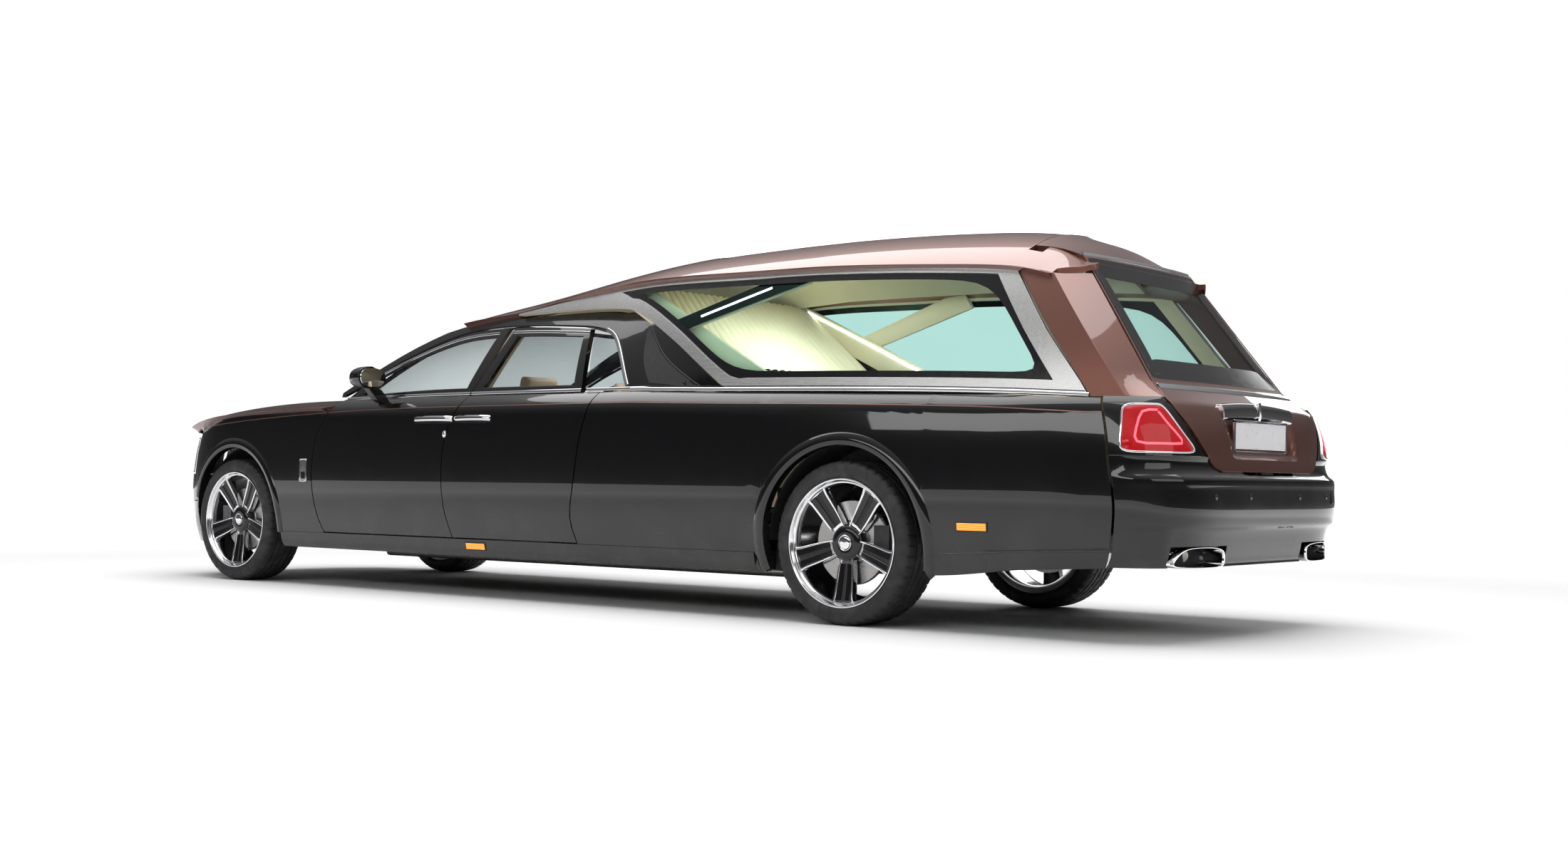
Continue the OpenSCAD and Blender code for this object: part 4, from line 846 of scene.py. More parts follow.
reach, inner = grilleSizes["reach"], grilleSizes["inner"]
shell("grilleFrame", refine([reach, inner, -inner, -reach], 14), refine([401, 425, 818, 843], 6),
      grilleAt, (0, 30),
      "chrome", both=False, skips=[(14, 28, 6, 12)], replaces="grille", slot="bright_chrome", bevel=3)
for k, u in enumerate(steps(reach, -reach, grilleSizes["vanes"] + 3)[2:-2]):
    path = [nosePoint(u, z, lampEnd, noseEnd - 6, 8) for z in steps(418, 826, 8)]
    strip("grilleVane%02d" % k, path, (1, 0, 0), grilleSizes["vane"],
          "polished", both=False)
for k, z in enumerate(grilleSizes["rails"]):
    path = [nosePoint(u, z, lampEnd, noseEnd - 16, 18) for u in steps(0.455, -0.455, 24)]
    strip("grilleRail%d" % k, path, (0, 0, 1), barProfile(*grilleSizes["rail"]), "blackGloss", both=False)


def lampAt(u, v, off=0):
    s = mix(noseEnd, lampEnd(0), u)
    z = mix(640, min(wingTop(s), 880) - gap - 20, v)
    return skinOff(s, z, -off)


lampUs = [0.53, 0.6, 0.7, 0.8, 0.9, 0.99]
lampSizes = {"bowl": (52, 58), "bezel": (11, 4), "eyes": (0.62, 0.8), "eyeDepth": 30, "brow": (9, 6)}
shell("headlampLens", refine(lampUs[::-1], 3), steps(0, 1, 9), lampAt, (0, 5), "lampGlass",
      replaces="headlamps", slot="lamp_clear", bevel=1)
shell("headlampBowl", refine(lampUs[::-1], 3), steps(0, 1, 9), lampAt, lampSizes["bowl"],
      "polished")
loop = [(u, 0.02) for u in refine(lampUs, 3)] + [(0.99, v) for v in steps(0.12, 0.88, 6)] \
    + [(u, 0.98) for u in refine(lampUs, 3)[::-1]] + [(0.53, v) for v in steps(0.88, 0.12, 6)]
path, outs = [lampAt(u, v, 1) for u, v in loop], [lampAt(u, v) - lampAt(u, v, 5) for u, v in loop]
strip("headlampBezel", path, outs, barProfile(*lampSizes["bezel"]), "chrome", closed=True)
ring = [(24, -2), (34, -2), (38, 4), (36, 9), (30, 11), (26, 7), (24, 0)]
dome = [(0.1, 12), (14, 10), (22, 4), (25, -4), (25, -14)]
for k, u in enumerate(lampSizes["eyes"]):
    centre, out = lampAt(u, 0.5, lampSizes["eyeDepth"]), (lampAt(u, 0.5) - lampAt(u, 0.5, 5)).normalized()
    turn = out.to_track_quat("Y", "Z").to_matrix().to_4x4()
    pair("lampRing%d" % k, moved(lathe(ring, 40), centre, turn), "chrome")
    pair("lampEye%d" % k, moved(lathe(dome, 40), centre, turn), "mirrorGlass")
bar = [lampAt(u, 0.86, 20) for u in steps(0.57, 0.95, 10)]
strip("lampBrow", bar, [lampAt(0.7, 0.9) - lampAt(0.7, 0.9, 5)] * 11, barProfile(*lampSizes["brow"]), "led")

bonnetSizes = {"crown": [(0, 78), (0.5, 92), (0.85, 60), (1, 8)], "ridge": 5, "ridgeAt": 0.13,
               "ridgeWidth": 0.035, "spine": (12, 3.5)}
bonnetRear, bonnetCorner = fa - 860, fa + 560


def bonnetSide(t):
    s = mix(bonnetRear, bonnetCorner, t)
    return skin(s, wingTop(s))


def bonnetAt(v, t):
    e, c = bonnetSide(t), bonnetSide(1)
    tip = noseS + noseReach(870) * (1 - (abs(v) * c.y / sideY(noseS, 870)) ** 3) ** (1 / 3)
    crown = curve(bonnetSizes["crown"], t)
    centreEdge = math.exp(-((abs(v) - bonnetSizes["ridgeAt"]) / bonnetSizes["ridgeWidth"]) ** 2)
    ridge = bonnetSizes["ridge"] * centreEdge * math.sin(math.pi * min(1, t * 1.02))
    return Vector((mix(bonnetRear + 150 * (1 - v * v), tip, t), v * (e.y - 2),
                   e.z + gap + 3 + crown * (1 - abs(v) ** 2.4) - ridge))


bonnetVs = [1, 0.93, 0.8, 0.6, 0.35, 0.2, 0.08, 0, -0.08, -0.2, -0.35, -0.6, -0.8, -0.93, -1]


def bonnetUnder(t, v):
    edge = abs(v) == 1
    return bonnetAt(v, t) - Vector((20 if t == 1 and not edge else 0, -40 * v if edge else 0,
                                    3 if edge else 30))


shell("bonnet", steps(0, 1, 40), refine(bonnetVs, 4), lambda t, v: bonnetAt(v, t), bonnetUnder,
      "copper", "bonnet", both=False, replaces="bonnet", slot="copper_paint", bevel=2)
path = [bonnetAt(0, t) + Vector((0, 0, -1)) for t in steps(0.02, 0.99, 30)]
strip("bonnetSpine", path, (0, 0, 1), barProfile(*bonnetSizes["spine"]), "chrome", "bonnet", both=False)
pin = (fa - 868, beltH - 48)
arm = merged(block((pin[0] - 9, 762, pin[1] - 8), (pin[0] + 98, 770, pin[1] + 8)),
             block((pin[0] + 68, 762, pin[1] - 8), (pin[0] + 98, 770, pin[1] + 13)),
             moved(lathe([(0.1, 0), (8, 0), (8, 35), (0.1, 36)], 24), (pin[0], 762, pin[1])))
pair("bonnetHinge", arm, "cast", "bonnet")
print("nose made")

# Cab
cabSizes = {"screenFoot": 730, "screenHead": 1830, "band": 26, "trim": (9, 3), "wiper": 0.62, "pillar": 46}
screenFoot, screenHead = fa - cabSizes["screenFoot"], fa - cabSizes["screenHead"]


def screenAt(t, v, off=0):
    w = mix(halfW - 215, halfW - 330, t)
    z = mix(beltH + 8, beltH + 401 - 8, t) + 46 * math.sin(math.pi * t) + 22 * t * (1 - v * v)
    return Vector((mix(screenFoot, screenHead, t) - 230 * v * v * (1 - 0.5 * t) - off / 3, v * w, z - off))


shell("windscreen", steps(0, 1, 20), steps(-1, 1, 28), screenAt, (0, car["glass"]),
      "doorGlass", both=False, replaces="windscreen", slot="clear_glass")
loop = [(0.02, v) for v in steps(-0.97, 0.97, 24)] + [(t, 0.97) for t in steps(0.06, 0.94, 14)] \
    + [(0.98, v) for v in steps(0.97, -0.97, 24)] + [(t, -0.97) for t in steps(0.94, 0.06, 14)]
path = [screenAt(t, v, -0.3) for t, v in loop]
strip("screenBand", path, [screenAt(t, v, -9) - screenAt(t, v, 9) for t, v in loop],
      [(x * cabSizes["band"], y) for x, y in ((-1, 0), (-1, 0.8), (1, 0.8), (1, 0))], "frit", both=False,
      closed=True)


def plateLow(x):
    rise = curve([(600, 0), (700, 4), (1100, beltH + 240 - belt(700)), (1360, 398), (1480, 432), (1800, 448),
                  (2330, 440)], x)
    return rise + (belt(x) if x < 700 else belt(700)) + 1


def plateTop(x):
    return roofEdge(x) - 11


roofFront = fa - 1800


def frameLow(x):
    return belt(x) + 2 if x < fa - 3150 else max(beltH + 2, doorTop(x) + 1)


def frameHigh(x):
    if x < fa - 3000:
        return max(plateLow(x) - 12, frameLow(x) + 6)
    if x < fa - 2190:
        return min(railTop(x), plateLow(x) - 12)
    return min(railTop(x), roofEdge(x) - 13) if x < roofFront + 60 else railTop(x)


def cabSideAt(x, v, off=0):
    return cabPoint(x, mix(frameLow(x), frameHigh(x), v), off)


cabXs = refine([720, fa - 3150], 12) + refine([fa - 3140, fa - 3040, fa - 2900, fa - 2740], 5)
cabXs += refine([fa - 2600, fa - 2208], 4) + refine([fa - 2176, fa - 1960, fa - 920], 10)
shell("cabSide", cabXs, steps(0, 1, 6), cabSideAt, (0, 32), "black",
      replaces="cab_frame", slot="gloss_black", bevel=2)
path = [cabSideAt(x, 0.06) for x in cabXs if fa - 3120 < x < fa - 1000]
strip("cabTrim", path, (0, 1, 0.2), barProfile(*cabSizes["trim"]), "blackGloss")
# Posts, pads and hinge blocks inside the doors
postIn, postTop, fireX = car["doorThick"] + 52, beltH - 60, fa - 730
inner = []
for x0, x1 in ((fa - 1970, fa - 1850), (fa - 3000, fa - 2810), (fa - 860, fireX - 0.3)):
    inner.append(block((x0, halfW - postIn - 60, doorLow - gap), (x1, halfW - postIn, postTop), 8))
for x in (fa - 1940, fa - 1870, fa - 2840, fa - 845):
    y = min(cabPoint(x, 660).y, cabPoint(x, 710).y) - car["doorThick"] - 0.8
    inner.append(block((x - 12, halfW - postIn - 1, 660), (x + 12, y, 710), 3))
inner.append(block((pin[0] - 16, 774, postTop), (pin[0] + 20, 800, postTop + 24), 3))
pair("innerPosts", merged(*inner), "blackMatt")
pillarZs = [postTop, beltH + 60, beltH + 220, doorTop(fa - 2200) - 3]


def pillarIn(d, z, off):
    x = mix(shutMid(beltH), fa - 2170, (z - beltH) / (pillarZs[3] - beltH)) + d
    return Vector((x, upperY(x, max(z, beltH + 20)) - off - (40 if z < beltH else 0), z))


shell("doorPillar", steps(-cabSizes["pillar"], cabSizes["pillar"], 4), refine(pillarZs, 4), pillarIn,
      (52, 82), "cream", bevel=3)


def cowlAt(v, t, off=0):
    rear = screenFoot - 230 * v * v - 3.6
    front = max(rear + 40, bonnetRear + 150 * (1 - v * v) - gap - 6)
    return Vector((mix(rear, front, t), v * (halfW - 215), beltH + 1.4 - off - 22 * t))


shell("cowl", steps(0, 1, 3), steps(1, -1, 28), lambda t, v: cowlAt(v, t), lambda t, v: cowlAt(v, t, 12),
      "blackMatt", both=False, bevel=1)
for k, x in enumerate((0.55, -0.15)):            # wipers
    path = [screenAt(0.01 + 0.05 * t, x - cabSizes["wiper"] * t, -14) for t in steps(0, 1, 12)]
    strip("wiper%d" % k, path, (0.5, 0, 1), [(-5, -10), (-7, 2), (-2, 8), (2, 8), (7, 2), (5, -10)],
          "blackMatt", both=False)


# The quarter window
def quarterAt(x, v, off=0):
    low = beltH + 4
    if x <= fa - 2930:
        e, z = 0, mix(low, max(low + 4, doorTop(x) - 4), v)
    else:                                         # the front edge leans forward with the door's shut line
        e = max(0, (x - fa + 2930) / 58) * v * 96
        z = mix(low, doorTop(x + e) - 4, v)
    return Vector((x + e, upperY(x + e, z) - 16 - off, z))


quarterXs = refine([fa - 3135, fa - 3090, fa - 3000, fa - 2930, fa - 2872], 4)
shell("quarterGlass", quarterXs, steps(0, 1, 6), quarterAt, (0, car["glass"]), "darkGlass",
      slot="tinted_glass")
path = [cabPoint(x, doorTop(x) + 9, -1) for x in steps(fa - 3140, fa - 2880, 14)]
strip("quarterTrim", path, (0, 1, 0.2), barProfile(22, 5), "chrome")
path = [cabPoint(x, beltH + 13, -1) for x in steps(fa - 3290, fa - 2878, 14)]
strip("quarterSill", path, (0, 1, 0.3), barProfile(17, 5), "chrome")
recessZs = steps(1050, 1386, 12)


def recessRear(z):
    return curve([(1045, 845), (1216, 1148), (1390, 1322)], z)


def recessAt(w, z, off=0):
    front = curve([(1046, 1179), (1202, 1290), (1390, 1336)], z)
    return cabPoint(mix(recessRear(z), front, w), z, off)


shell("buttressRecess", steps(0, 1, 6), recessZs, recessAt, (-0.9, 0.5), "blackMatt")
path = [cabPoint(recessRear(z) - 3, z, -0.3) for z in recessZs]
strip("buttressEdge", path, (0, 1, 0.3), barProfile(9, 3), "black")
print("cab made")

# Roof and bay
roofVs = [1, 0.94, 0.8, 0.55, 0.28, 0, -0.28, -0.55, -0.8, -0.94, -1]
roofXs = refine([-900, -800], 2) + refine([-700, 400], 20) + refine([650, roofFront], 28)


def roofUnder(x, v):
    return roofPoint(x, v) - Vector((0, -34 * v, 2) if abs(v) == 1 else (0, 8 * v, car["frameThick"]))


shell("roof", roofXs, refine(roofVs, 4), roofPoint,
      roofUnder,
      "copper", both=False, skips=[(0, 3, 8, 32)], replaces="roof", slot="copper_paint", bevel=2)

plateUs = [0, 0.035, 0.14, 0.26, 0.38, 0.5, 0.57, 0.62, 0.66, 0.7, 0.755, 0.79, 0.83, 0.91, 1]


def platePoint(u, w):
    j, k = min(3, int(w)), w - min(3, int(w))
    rows = []
    for i in (j, j + 1):
        x = mix(mix(-1150, -735, (0, 0.111, 0.532, 0.953, 1)[i]), fa - 2210, u)
        a, b = plateLow(x), plateTop(x)
        leg, cap = min(62, (b - a) * 0.45), min(26, (b - a) * 0.3)
        rows.append((x, (a, a + leg, (a + leg + b - cap) / 2, b - cap, b)[i]))
    return mix(rows[0][0], rows[1][0], k), mix(rows[0][1], rows[1][1], k)


def plateAt(u, w, off=0):
    return bayPoint(*platePoint(u, w), off)


plateRs = refine([0, 1, 2, 3, 4], 4)
shell("windowPlate", refine(plateUs, 4), plateRs, plateAt, (0, 14), "steel",
      skips=[(4, 40, 4, 12)], replaces="window_surrounds", slot="brushed_steel", bevel=3)
shell("windowLining", refine(plateUs, 4), plateRs, plateAt, (15, 46), "cream",
      skips=[(4, 40, 4, 12)], bevel=4)
paneUs, paneRs = refine(plateUs[1:11], 4), refine([1, 2, 3], 4)
shell("bayGlass", paneUs, paneRs, plateAt, (11.4, 11.4 + car["glass"]), "glass",
      replaces="side_windows", slot="clear_glass")


def softLoop(loop, width, passes):               # a loop drawn in by a width, with its corners rounded
    n, out = len(loop), []
    area = sum(a[0] * b[1] - b[0] * a[1] for a, b in zip(loop, loop[1:] + loop[:1]))
    turn = 1 if area > 0 else -1
    for i in range(n):
        dx, dz = loop[(i + 1) % n][0] - loop[i - 1][0], loop[(i + 1) % n][1] - loop[i - 1][1]
        d = math.hypot(dx, dz) or 1
        out.append((loop[i][0] - turn * dz / d * width, loop[i][1] + turn * dx / d * width))
    return smoothed(out, passes)


def bandPiece(name, outer, inside, place, look, thick=0.8):
    # A flat band between two loops, laid on a surface given by place(x, z, off)
    n = len(outer)
    rings = [[place(*p, -thick) for p in outer], [place(*p, -thick) for p in inside],
             [place(*p, 0) for p in inside], [place(*p, 0) for p in outer]]
    points = [p for ring in rings for p in ring]
    faces = [(r * n + i, r * n + (i + 1) % n, (r + 1) % 4 * n + (i + 1) % n,
              (r + 1) % 4 * n + i) for r in range(4) for i in range(n)]
    pair(name, flipped((points, faces)), look, angle=50)


baySizes = {"band": 30, "beltTrim": (19, 7), "groove": (4, 0.9)}
edge = [platePoint(*p) for p in border(paneUs, paneRs)]
bandPiece("glassBand", softLoop(edge, 0.5, 0), softLoop(edge, baySizes["band"], 6),
          lambda x, z, off: bayPoint(x, z, 11.2 + off), "frit")
# The bar across the window: dark outside, lined inside, with a strip light in its face
barSizes = {"foot": (1120, 0, 1372), "head": (385, 0, 1588), "half": (34, 44), "light": (0.2, 0.74)}
barFoot, barHead = Vector(barSizes["foot"]), Vector(barSizes["head"])
barAcross = Vector((-(barHead.z - barFoot.z), 0, barHead.x - barFoot.x)).normalized()


def barAt(t, w, off):
    p = barFoot.lerp(barHead, t) + barAcross * w * mix(*barSizes["half"], t)
    return bayPoint(p.x, p.z, off)


shell("windowBar", steps(0, 1, 14), steps(-1, 1, 4), barAt, (19, 30), "blackGloss",
      flip=True, bevel=1)
shell("barLining", steps(0, 1, 14), steps(-1.15, 1.15, 6), lambda t, w: barAt(t, w, 31),
      lambda t, w: barAt(t, w, 66 - 10 * w * w), "cream", flip=True, bevel=3)
path = [barAt(t, 0.05, 19) for t in steps(*barSizes["light"], 12)]
strip("barLight", path, (0, 1, 0), barProfile(11, 1.2), "led")
# A lined rib along the window's front edge, with a strip light
ribSizes = {"foot": (560, 1075), "head": (1500, 1560), "half": (30, 58)}


def ribAt(t, w, off):
    x, z = (mix(a, b, t) for a, b in zip(ribSizes["foot"], ribSizes["head"]))
    return bayPoint(x + ribSizes["half"][0] * w, z - ribSizes["half"][1] * w, off)


shell("frontRib", steps(0, 1, 16), steps(-1, 1, 6), lambda t, w: ribAt(t, w, 47),
      lambda t, w: ribAt(t, w, 84 - 12 * w * w), "cream", bevel=3)
path = [ribAt(t, -0.7, 80) for t in steps(0.1, 0.95, 20)]
strip("ribLight", path, (0, -1, 0), barProfile(9, 3), "led")
path = [bayPoint(x, belt(x) + 9, -1) for x in steps(-1150, 1330, 50)]
strip("bayBeltTrim", path, (0, 1, 0.35), barProfile(*baySizes["beltTrim"]), "chrome")
# A 4 mm near-black strip along the steel just above the belt trim: painted shade standing in for the dark in
# the groove
path = [bayPoint(x, belt(x) + 24, -0.4) for x in steps(-1130, 1300, 50)]
strip("bayBeltGroove", path, (0, 1, 0.2), barProfile(*baySizes["groove"]), "frit")
print("bay made")

# Tail
gateSizes = {"low": 690, "corner": (54, 42), "recess": 22, "recessHalf": 330, "recessZ": (742, 925),
             "headTrim": (22, 5), "footTrim": (30, 5)}
gateLow, gateTopX = gateSizes["low"], tailS - gap


def gateZ(t):
    return curve([(0, gateLow), (0.28, 960), (0.36, 1046), (0.9, 1600), (1, 1708)], t)


def cornerCut(z):                                 # the tailgate's lower corners are rounded
    width, height = gateSizes["corner"]
    return width * max(0, 1 - (z - gateLow) / height) ** 3


def gateW(t):
    return -cornerCut(gateZ(t)) + curve([(0, 498), (0.08, 560), (0.2, 650), (0.28, 700), (0.36, 640),
                                         (0.9, 506), (1, 520)], t)


def tailSkinX(y, z):
    return tailS - tailReach(z) * max(0, 1 - min(1, abs(y) / sideY(tailS, z)) ** 5.5) ** (1 / 5.5)


def backGlassX(y, z):
    return -1345 + (z - 1046) * math.tan(math.radians(car["backAngle"])) + 22 * (y / 600) ** 2


def gateX(y, z):
    if z <= 960:
        return tailSkinX(y, z)
    return backGlassX(y, z) if z >= 1046 else mix(tailSkinX(y, 960), backGlassX(y, 1046), (z - 960) / 86)


def roofZ(x, y):
    return roofEdge(x) + (roofMid(x) - roofEdge(x)) * (1 - (abs(y) / roofEdgeY(x)) ** 2.5)


def gateAt(t, v, e=0.0):
    z, y, k = gateZ(min(t, 0.9)), v * gateW(t), max(0, (t - 0.9) * 10)
    lift = curve([(0, 0), (0.5, 0.62), (1, 1)], k)
    hollow = 0
    if 0.03 < t < 0.25 and e == 0:                # the recess that the plate stands in
        low, high = gateSizes["recessZ"]
        inY = max(0, min(1, (gateSizes["recessHalf"] - abs(y)) / 26))
        inZ = max(0, min(1, (z - low) / 16)) * max(0, min(1, (high - z) / 16))
        hollow = gateSizes["recess"] * inY * inZ
    return Vector((mix(gateX(y, z), gateTopX, k) + hollow + e * (1 - k * 0.9), y,
                   mix(z, roofZ(gateTopX, y), lift)))


gateTs = [0, 0.08, 0.16, 0.22, 0.28, 0.36, 0.4, 0.55, 0.72, 0.87, 0.9, 0.95, 1]
gateVs = [-1, -0.94, -0.75, -0.5, -0.25, 0, 0.25, 0.5, 0.75, 0.94, 1]
shell("tailgate", refine(gateVs, 8), refine(gateTs, 6), lambda v, t: gateAt(t, v),
      lambda v, t: gateAt(t, v * 0.985, 40) - Vector((0, 0, max(0, (t - 0.9) * 300))), "copper", "tailgate",
      both=False, skips=[(8, 72, 36, 54)], replaces="tailgate", slot="copper_paint", bevel=2)
paneVs, paneTs = refine(gateVs[1:-1], 4), refine(gateTs[6:10], 6)
shell("backGlass", paneVs, paneTs, lambda v, t: gateAt(t, v * 0.9968, 6),
      lambda v, t: gateAt(t, v * 0.9944, 12), "glass", "tailgate", both=False, replaces="tailgate_glass",
      slot="tinted_glass")


def gateFace(v, t, off):
    lean = math.radians(car["backAngle"])
    return gateAt(t, v) + off * Vector((math.cos(lean), 0, -math.sin(lean)))


ring = [(v * 600, t * 1000) for v, t in border(paneVs, paneTs)]
wide, slim = softLoop(ring, -22, 0), softLoop(ring, 62, 5)
slim = [(x, max(y, paneTs[0] * 1000 + 22)) for x, y in slim]
points, n = [], len(wide)
for loop, off in ((wide, -1.2), (slim, -1.2), (slim, 0), (wide, 0)):
    for x, y in loop:
        sunk = 5.8 if loop is slim and abs(x) < 560 else 0
        points.append(gateFace(x / 600, min(y / 1000, 0.898), off) + Vector((sunk, 0, 0)))
faces = [(r * n + i, (r + 1) % 4 * n + i, (r + 1) % 4 * n + (i + 1) % n,
          r * n + (i + 1) % n) for r in range(4) for i in range(n)]
addPiece("backGlassBand", points, faces, "frit", "tailgate", angle=50)
path = [gateAt(0.905, v) + Vector((-1, 0, 0)) for v in steps(-0.985, 0.985, 40)]
strip("gateHeadTrim", path, (-1, 0, 0.6), barProfile(*gateSizes["headTrim"]), "chrome", "tailgate",
      both=False)
path = [gateAt(0.345, v) + Vector((-0.5, 0, 0)) for v in steps(-0.99, 0.99, 60)]
strip("gateFootTrim", path, (-1, 0, 0.75), barProfile(*gateSizes["footTrim"]), "chrome", "tailgate",
      both=False)

# Plate, its frame, the bright bar over it and the lamps under that bar
plateSizes = {"halfWidth": 266, "low": 766, "high": 906, "frame": 12, "lamps": (-120, 120)}
plateX = tailSkinX(0, 835) + 14


def tailBlock(low, high, cut=2):
    return block((plateX + low[0], low[1], low[2]), (plateX + high[0], high[1], high[2]), cut)


w, low, high, rim = (plateSizes[k] for k in ("halfWidth", "low", "high", "frame"))
addPiece("plateFrame", *merged(tailBlock((-7, -w, low), (4, w, low + rim)),
                               tailBlock((-7, -w, high - rim), (4, w, high)),
                               tailBlock((-7, -w, low), (4, rim - w, high)),
                               tailBlock((-7, w - rim, low), (4, w, high))), "chrome", "tailgate")
addPiece("plateFace", *tailBlock((-4, 10 - w, low + 10), (0, w - 10, high - 10), 1.5), "plate", "tailgate")
barYs = steps(-345, 345, 40)
barSection = [(-36, -6), (-36, 14), (-30, 24), (-8, 30), (24, 26), (34, 16), (36, -6)]
path = [Vector((tailSkinX(y, 945) + 8, y, 944 - 14 * (y / 345) ** 2)) for y in barYs]
strip("gateBar", path, (-1, 0, 0.15), barSection, "chrome", "tailgate", both=False, bevel=1.5)
rib = [Vector((tailSkinX(0, 945) - out, 0, z)) for out, z in ((16, 902), (22, 930), (18, 984))]
strip("gateBarRib", rib, (-1, 0, 0.1), barProfile(16, 8), "polished", "tailgate", both=False)
for k, y in enumerate(plateSizes["lamps"]):
    addPiece("plateLamp%d" % k, *tailBlock((-30, y - 30, 900), (-14, y + 30, 906), 2), "lampGlass",
             "tailgate")


def lampEdge(z):
    return curve([(gateLow, 498), (760, 575), (850, 650), (960, 706)], z) + gap - cornerCut(z)


def cornerAt(w, z, y1, off=0):
    if w <= 0.5:
        p = skin(mix(tailShut, tailTurn, w * 2), z)
    else:
        y = mix(skin(tailTurn, z).y, y1, w * 2 - 1)
        p = Vector((tailSkinX(y, z), y, z))
    return p + off * Vector((min(1, w * 1.3), min(0, w * 1.3 - 1), 0))


cornerWs, cornerZs = [1, 0.88, 0.75, 0.62, 0.5, 0.38, 0.25, 0.12, 0], [747.6, 800, 850, 900, 956.4]
shell("lampCorner", refine(cornerWs, 3), refine(cornerZs, 4), lambda w, z: cornerAt(w, z, lampEdge(z)),
      lambda w, z: cornerAt(w, z, lampEdge(z), 60), "black", replaces="tail_lamps", slot="gloss_black",
      bevel=2)


def lampFace(a, b, off=0):                        # the lamp's own outline within the corner: a across, b up
    z = mix(761, 951, b)
    w = mix(0.1 + 0.1 * b, 0.93 - 0.06 * b, a)
    return cornerAt(w, z, lampEdge(z) + mix(10, 34, b), -off)


def lampLoop(grow=0.0, passes=4, n=14):
    loop = smoothed(border(steps(0, 1, n), steps(0, 1, n)), passes)
    return [(0.5 + (a - 0.5) * (1 + grow), 0.5 + (b - 0.5) * (1 + grow)) for a, b in loop]


def patch(name, place, rings, look, thick, **more):    # a domed patch from nested loops
    n = len(rings[0])
    points = [place(a, b, off) for ring in rings for a, b, off in ring]
    points += [place(a, b, -thick) for a, b, _ in rings[0]]
    faces = []
    for r in range(len(rings) - 1):
        faces += [(r * n + i, r * n + (i + 1) % n, (r + 1) * n + (i + 1) % n,
                   (r + 1) * n + i) for i in range(n)]
    last = (len(rings) - 1) * n
    faces.append(tuple(last + i for i in range(n)))
    back = len(rings) * n
    faces += [(back + i, back + (i + 1) % n, (i + 1) % n, i) for i in range(n)]
    faces.append(tuple(back + i for i in range(n))[::-1])
    pair(name, flipped((points, faces)), look, **more)


def nest(grows, lifts, passes=6):
    return [[(a, b, lift) for a, b in lampLoop(g, passes)] for g, lift in zip(grows, lifts)]


patch("tailLampLens", lampFace, nest((-0.02, -0.06, -0.25, -0.5, -0.8), (0.5, 5, 6, 6.5, 7)), "redLens", 10,
      slot="lamp_red")
loop = lampLoop(0.0, 6)
path = [lampFace(a, b, 1) for a, b in loop]
outs = [lampFace(a, b, 5) - lampFace(a, b, 0) for a, b in loop]
strip("tailLampBezel", path, outs, barProfile(9, 6), "chrome", closed=True)
guide = [(0.62, 0.88), (0.40, 0.88), (0.30, 0.84), (0.24, 0.70), (0.20, 0.50), (0.18, 0.32), (0.21, 0.22),
         (0.32, 0.18), (0.50, 0.18), (0.68, 0.18), (0.80, 0.19), (0.84, 0.28), (0.81, 0.42), (0.74, 0.6),
         (0.66, 0.8), (0.58, 0.88)]
guide = between(guide, 2)[:-1]
path = [lampFace(a, b, 6.2) for a, b in guide]
strip("tailLampGuide", path, [lampFace(a, b, 5) - lampFace(a, b, 0) for a, b in guide], barProfile(9, 2.5),
      "redGlow")


def gateHalf(z):
    return mix(702, 642, (z - 960) / 86) if z < 1046 else mix(642, 508, (z - 1046) / 554)


def pillarX(w, z):
    return mix(-1156, -741, (z - 983) / 557) if w == 0 else mix(-1300, -898, (z - 983) / 540)


def pillarTop(w):
    return curve([(0, roofEdge(-741) - 6), (0.5, 1507), (1, 1519)], w)


def pillarAt(w, v, off=0):
    if w < 0.5:                                   # the outer face runs from the window to the crease
        z = mix(983, pillarTop(0), v)
        edge = Vector((pillarX(0, z), bayY(pillarX(0, z), z), z))
        return edge.lerp(pillarAt(0.5, v), w * 2) - Vector((0, off, 0))
    z = mix(983, pillarTop(w), v)
    x0 = pillarX(0.5, z)
    y0, y1 = bayY(x0, z) - 4, gateHalf(z) + gap
    x1, k = gateX(y1, z), w * 2 - 1
    return Vector((mix(x0, x1, k) + off, mix(y0, y1, k) - off * (1 - k), z))


shell("tailPillar", [1, 0.9, 0.75, 0.6, 0.5, 0.35, 0.2, 0], steps(0, 1, 14), pillarAt, (0, 32), "copper",
      replaces="tail_corners", slot="copper_paint", bevel=2, angle=24)


def roofCornerAt(k, b, drop):
    y = mix(506, roofEdgeY(-870) - 3, k)
    x = mix(-770, mix(-1001, -868, k ** 1.2), b)
    return Vector((x, y, roofZ(x, y) - 1.2 - drop))


shell("roofCorner", steps(1, 0, 10), steps(1, 0, 8), roofCornerAt, (0, 26), "copper",
      bevel=2)
shell("tailLedge", refine([1, 0.75, 0.5, 0.25, 0], 4), steps(957, 982.5, 3), lambda w, z: cornerAt(w, z, 720),
      lambda w, z: cornerAt(w, z, 720, 130), "black", bevel=2)

# Rear bumper, with its step, sensors and exhaust mouths
bumperYs = [770, 590, 380, 250, 120, 0, -120, -250, -380, -590, -770]
bumperCols = [(-1, s) for s in refine(steps(tailShut, tailTurn, 3), 3)]
bumperCols += [(0, y) for y in refine(bumperYs, 4)]
bumperCols += [(1, s) for s in refine(steps(tailTurn, tailShut, 3), 3)]
bumperZs = [304, 388, 440, 470, 500, 610, 652, 678, 747]


bumperSizes = {"step": [(304, -4), (318, 10), (400, 22), (450, 20), (466, 2), (480, -1), (560, 0), (610, -4),
                        (652, -13), (664, -10), (678, 4), (700, 9), (746, 8), (747, 0)],
               "sensors": (-560, -250, 250, 560), "sensorZ": 585}


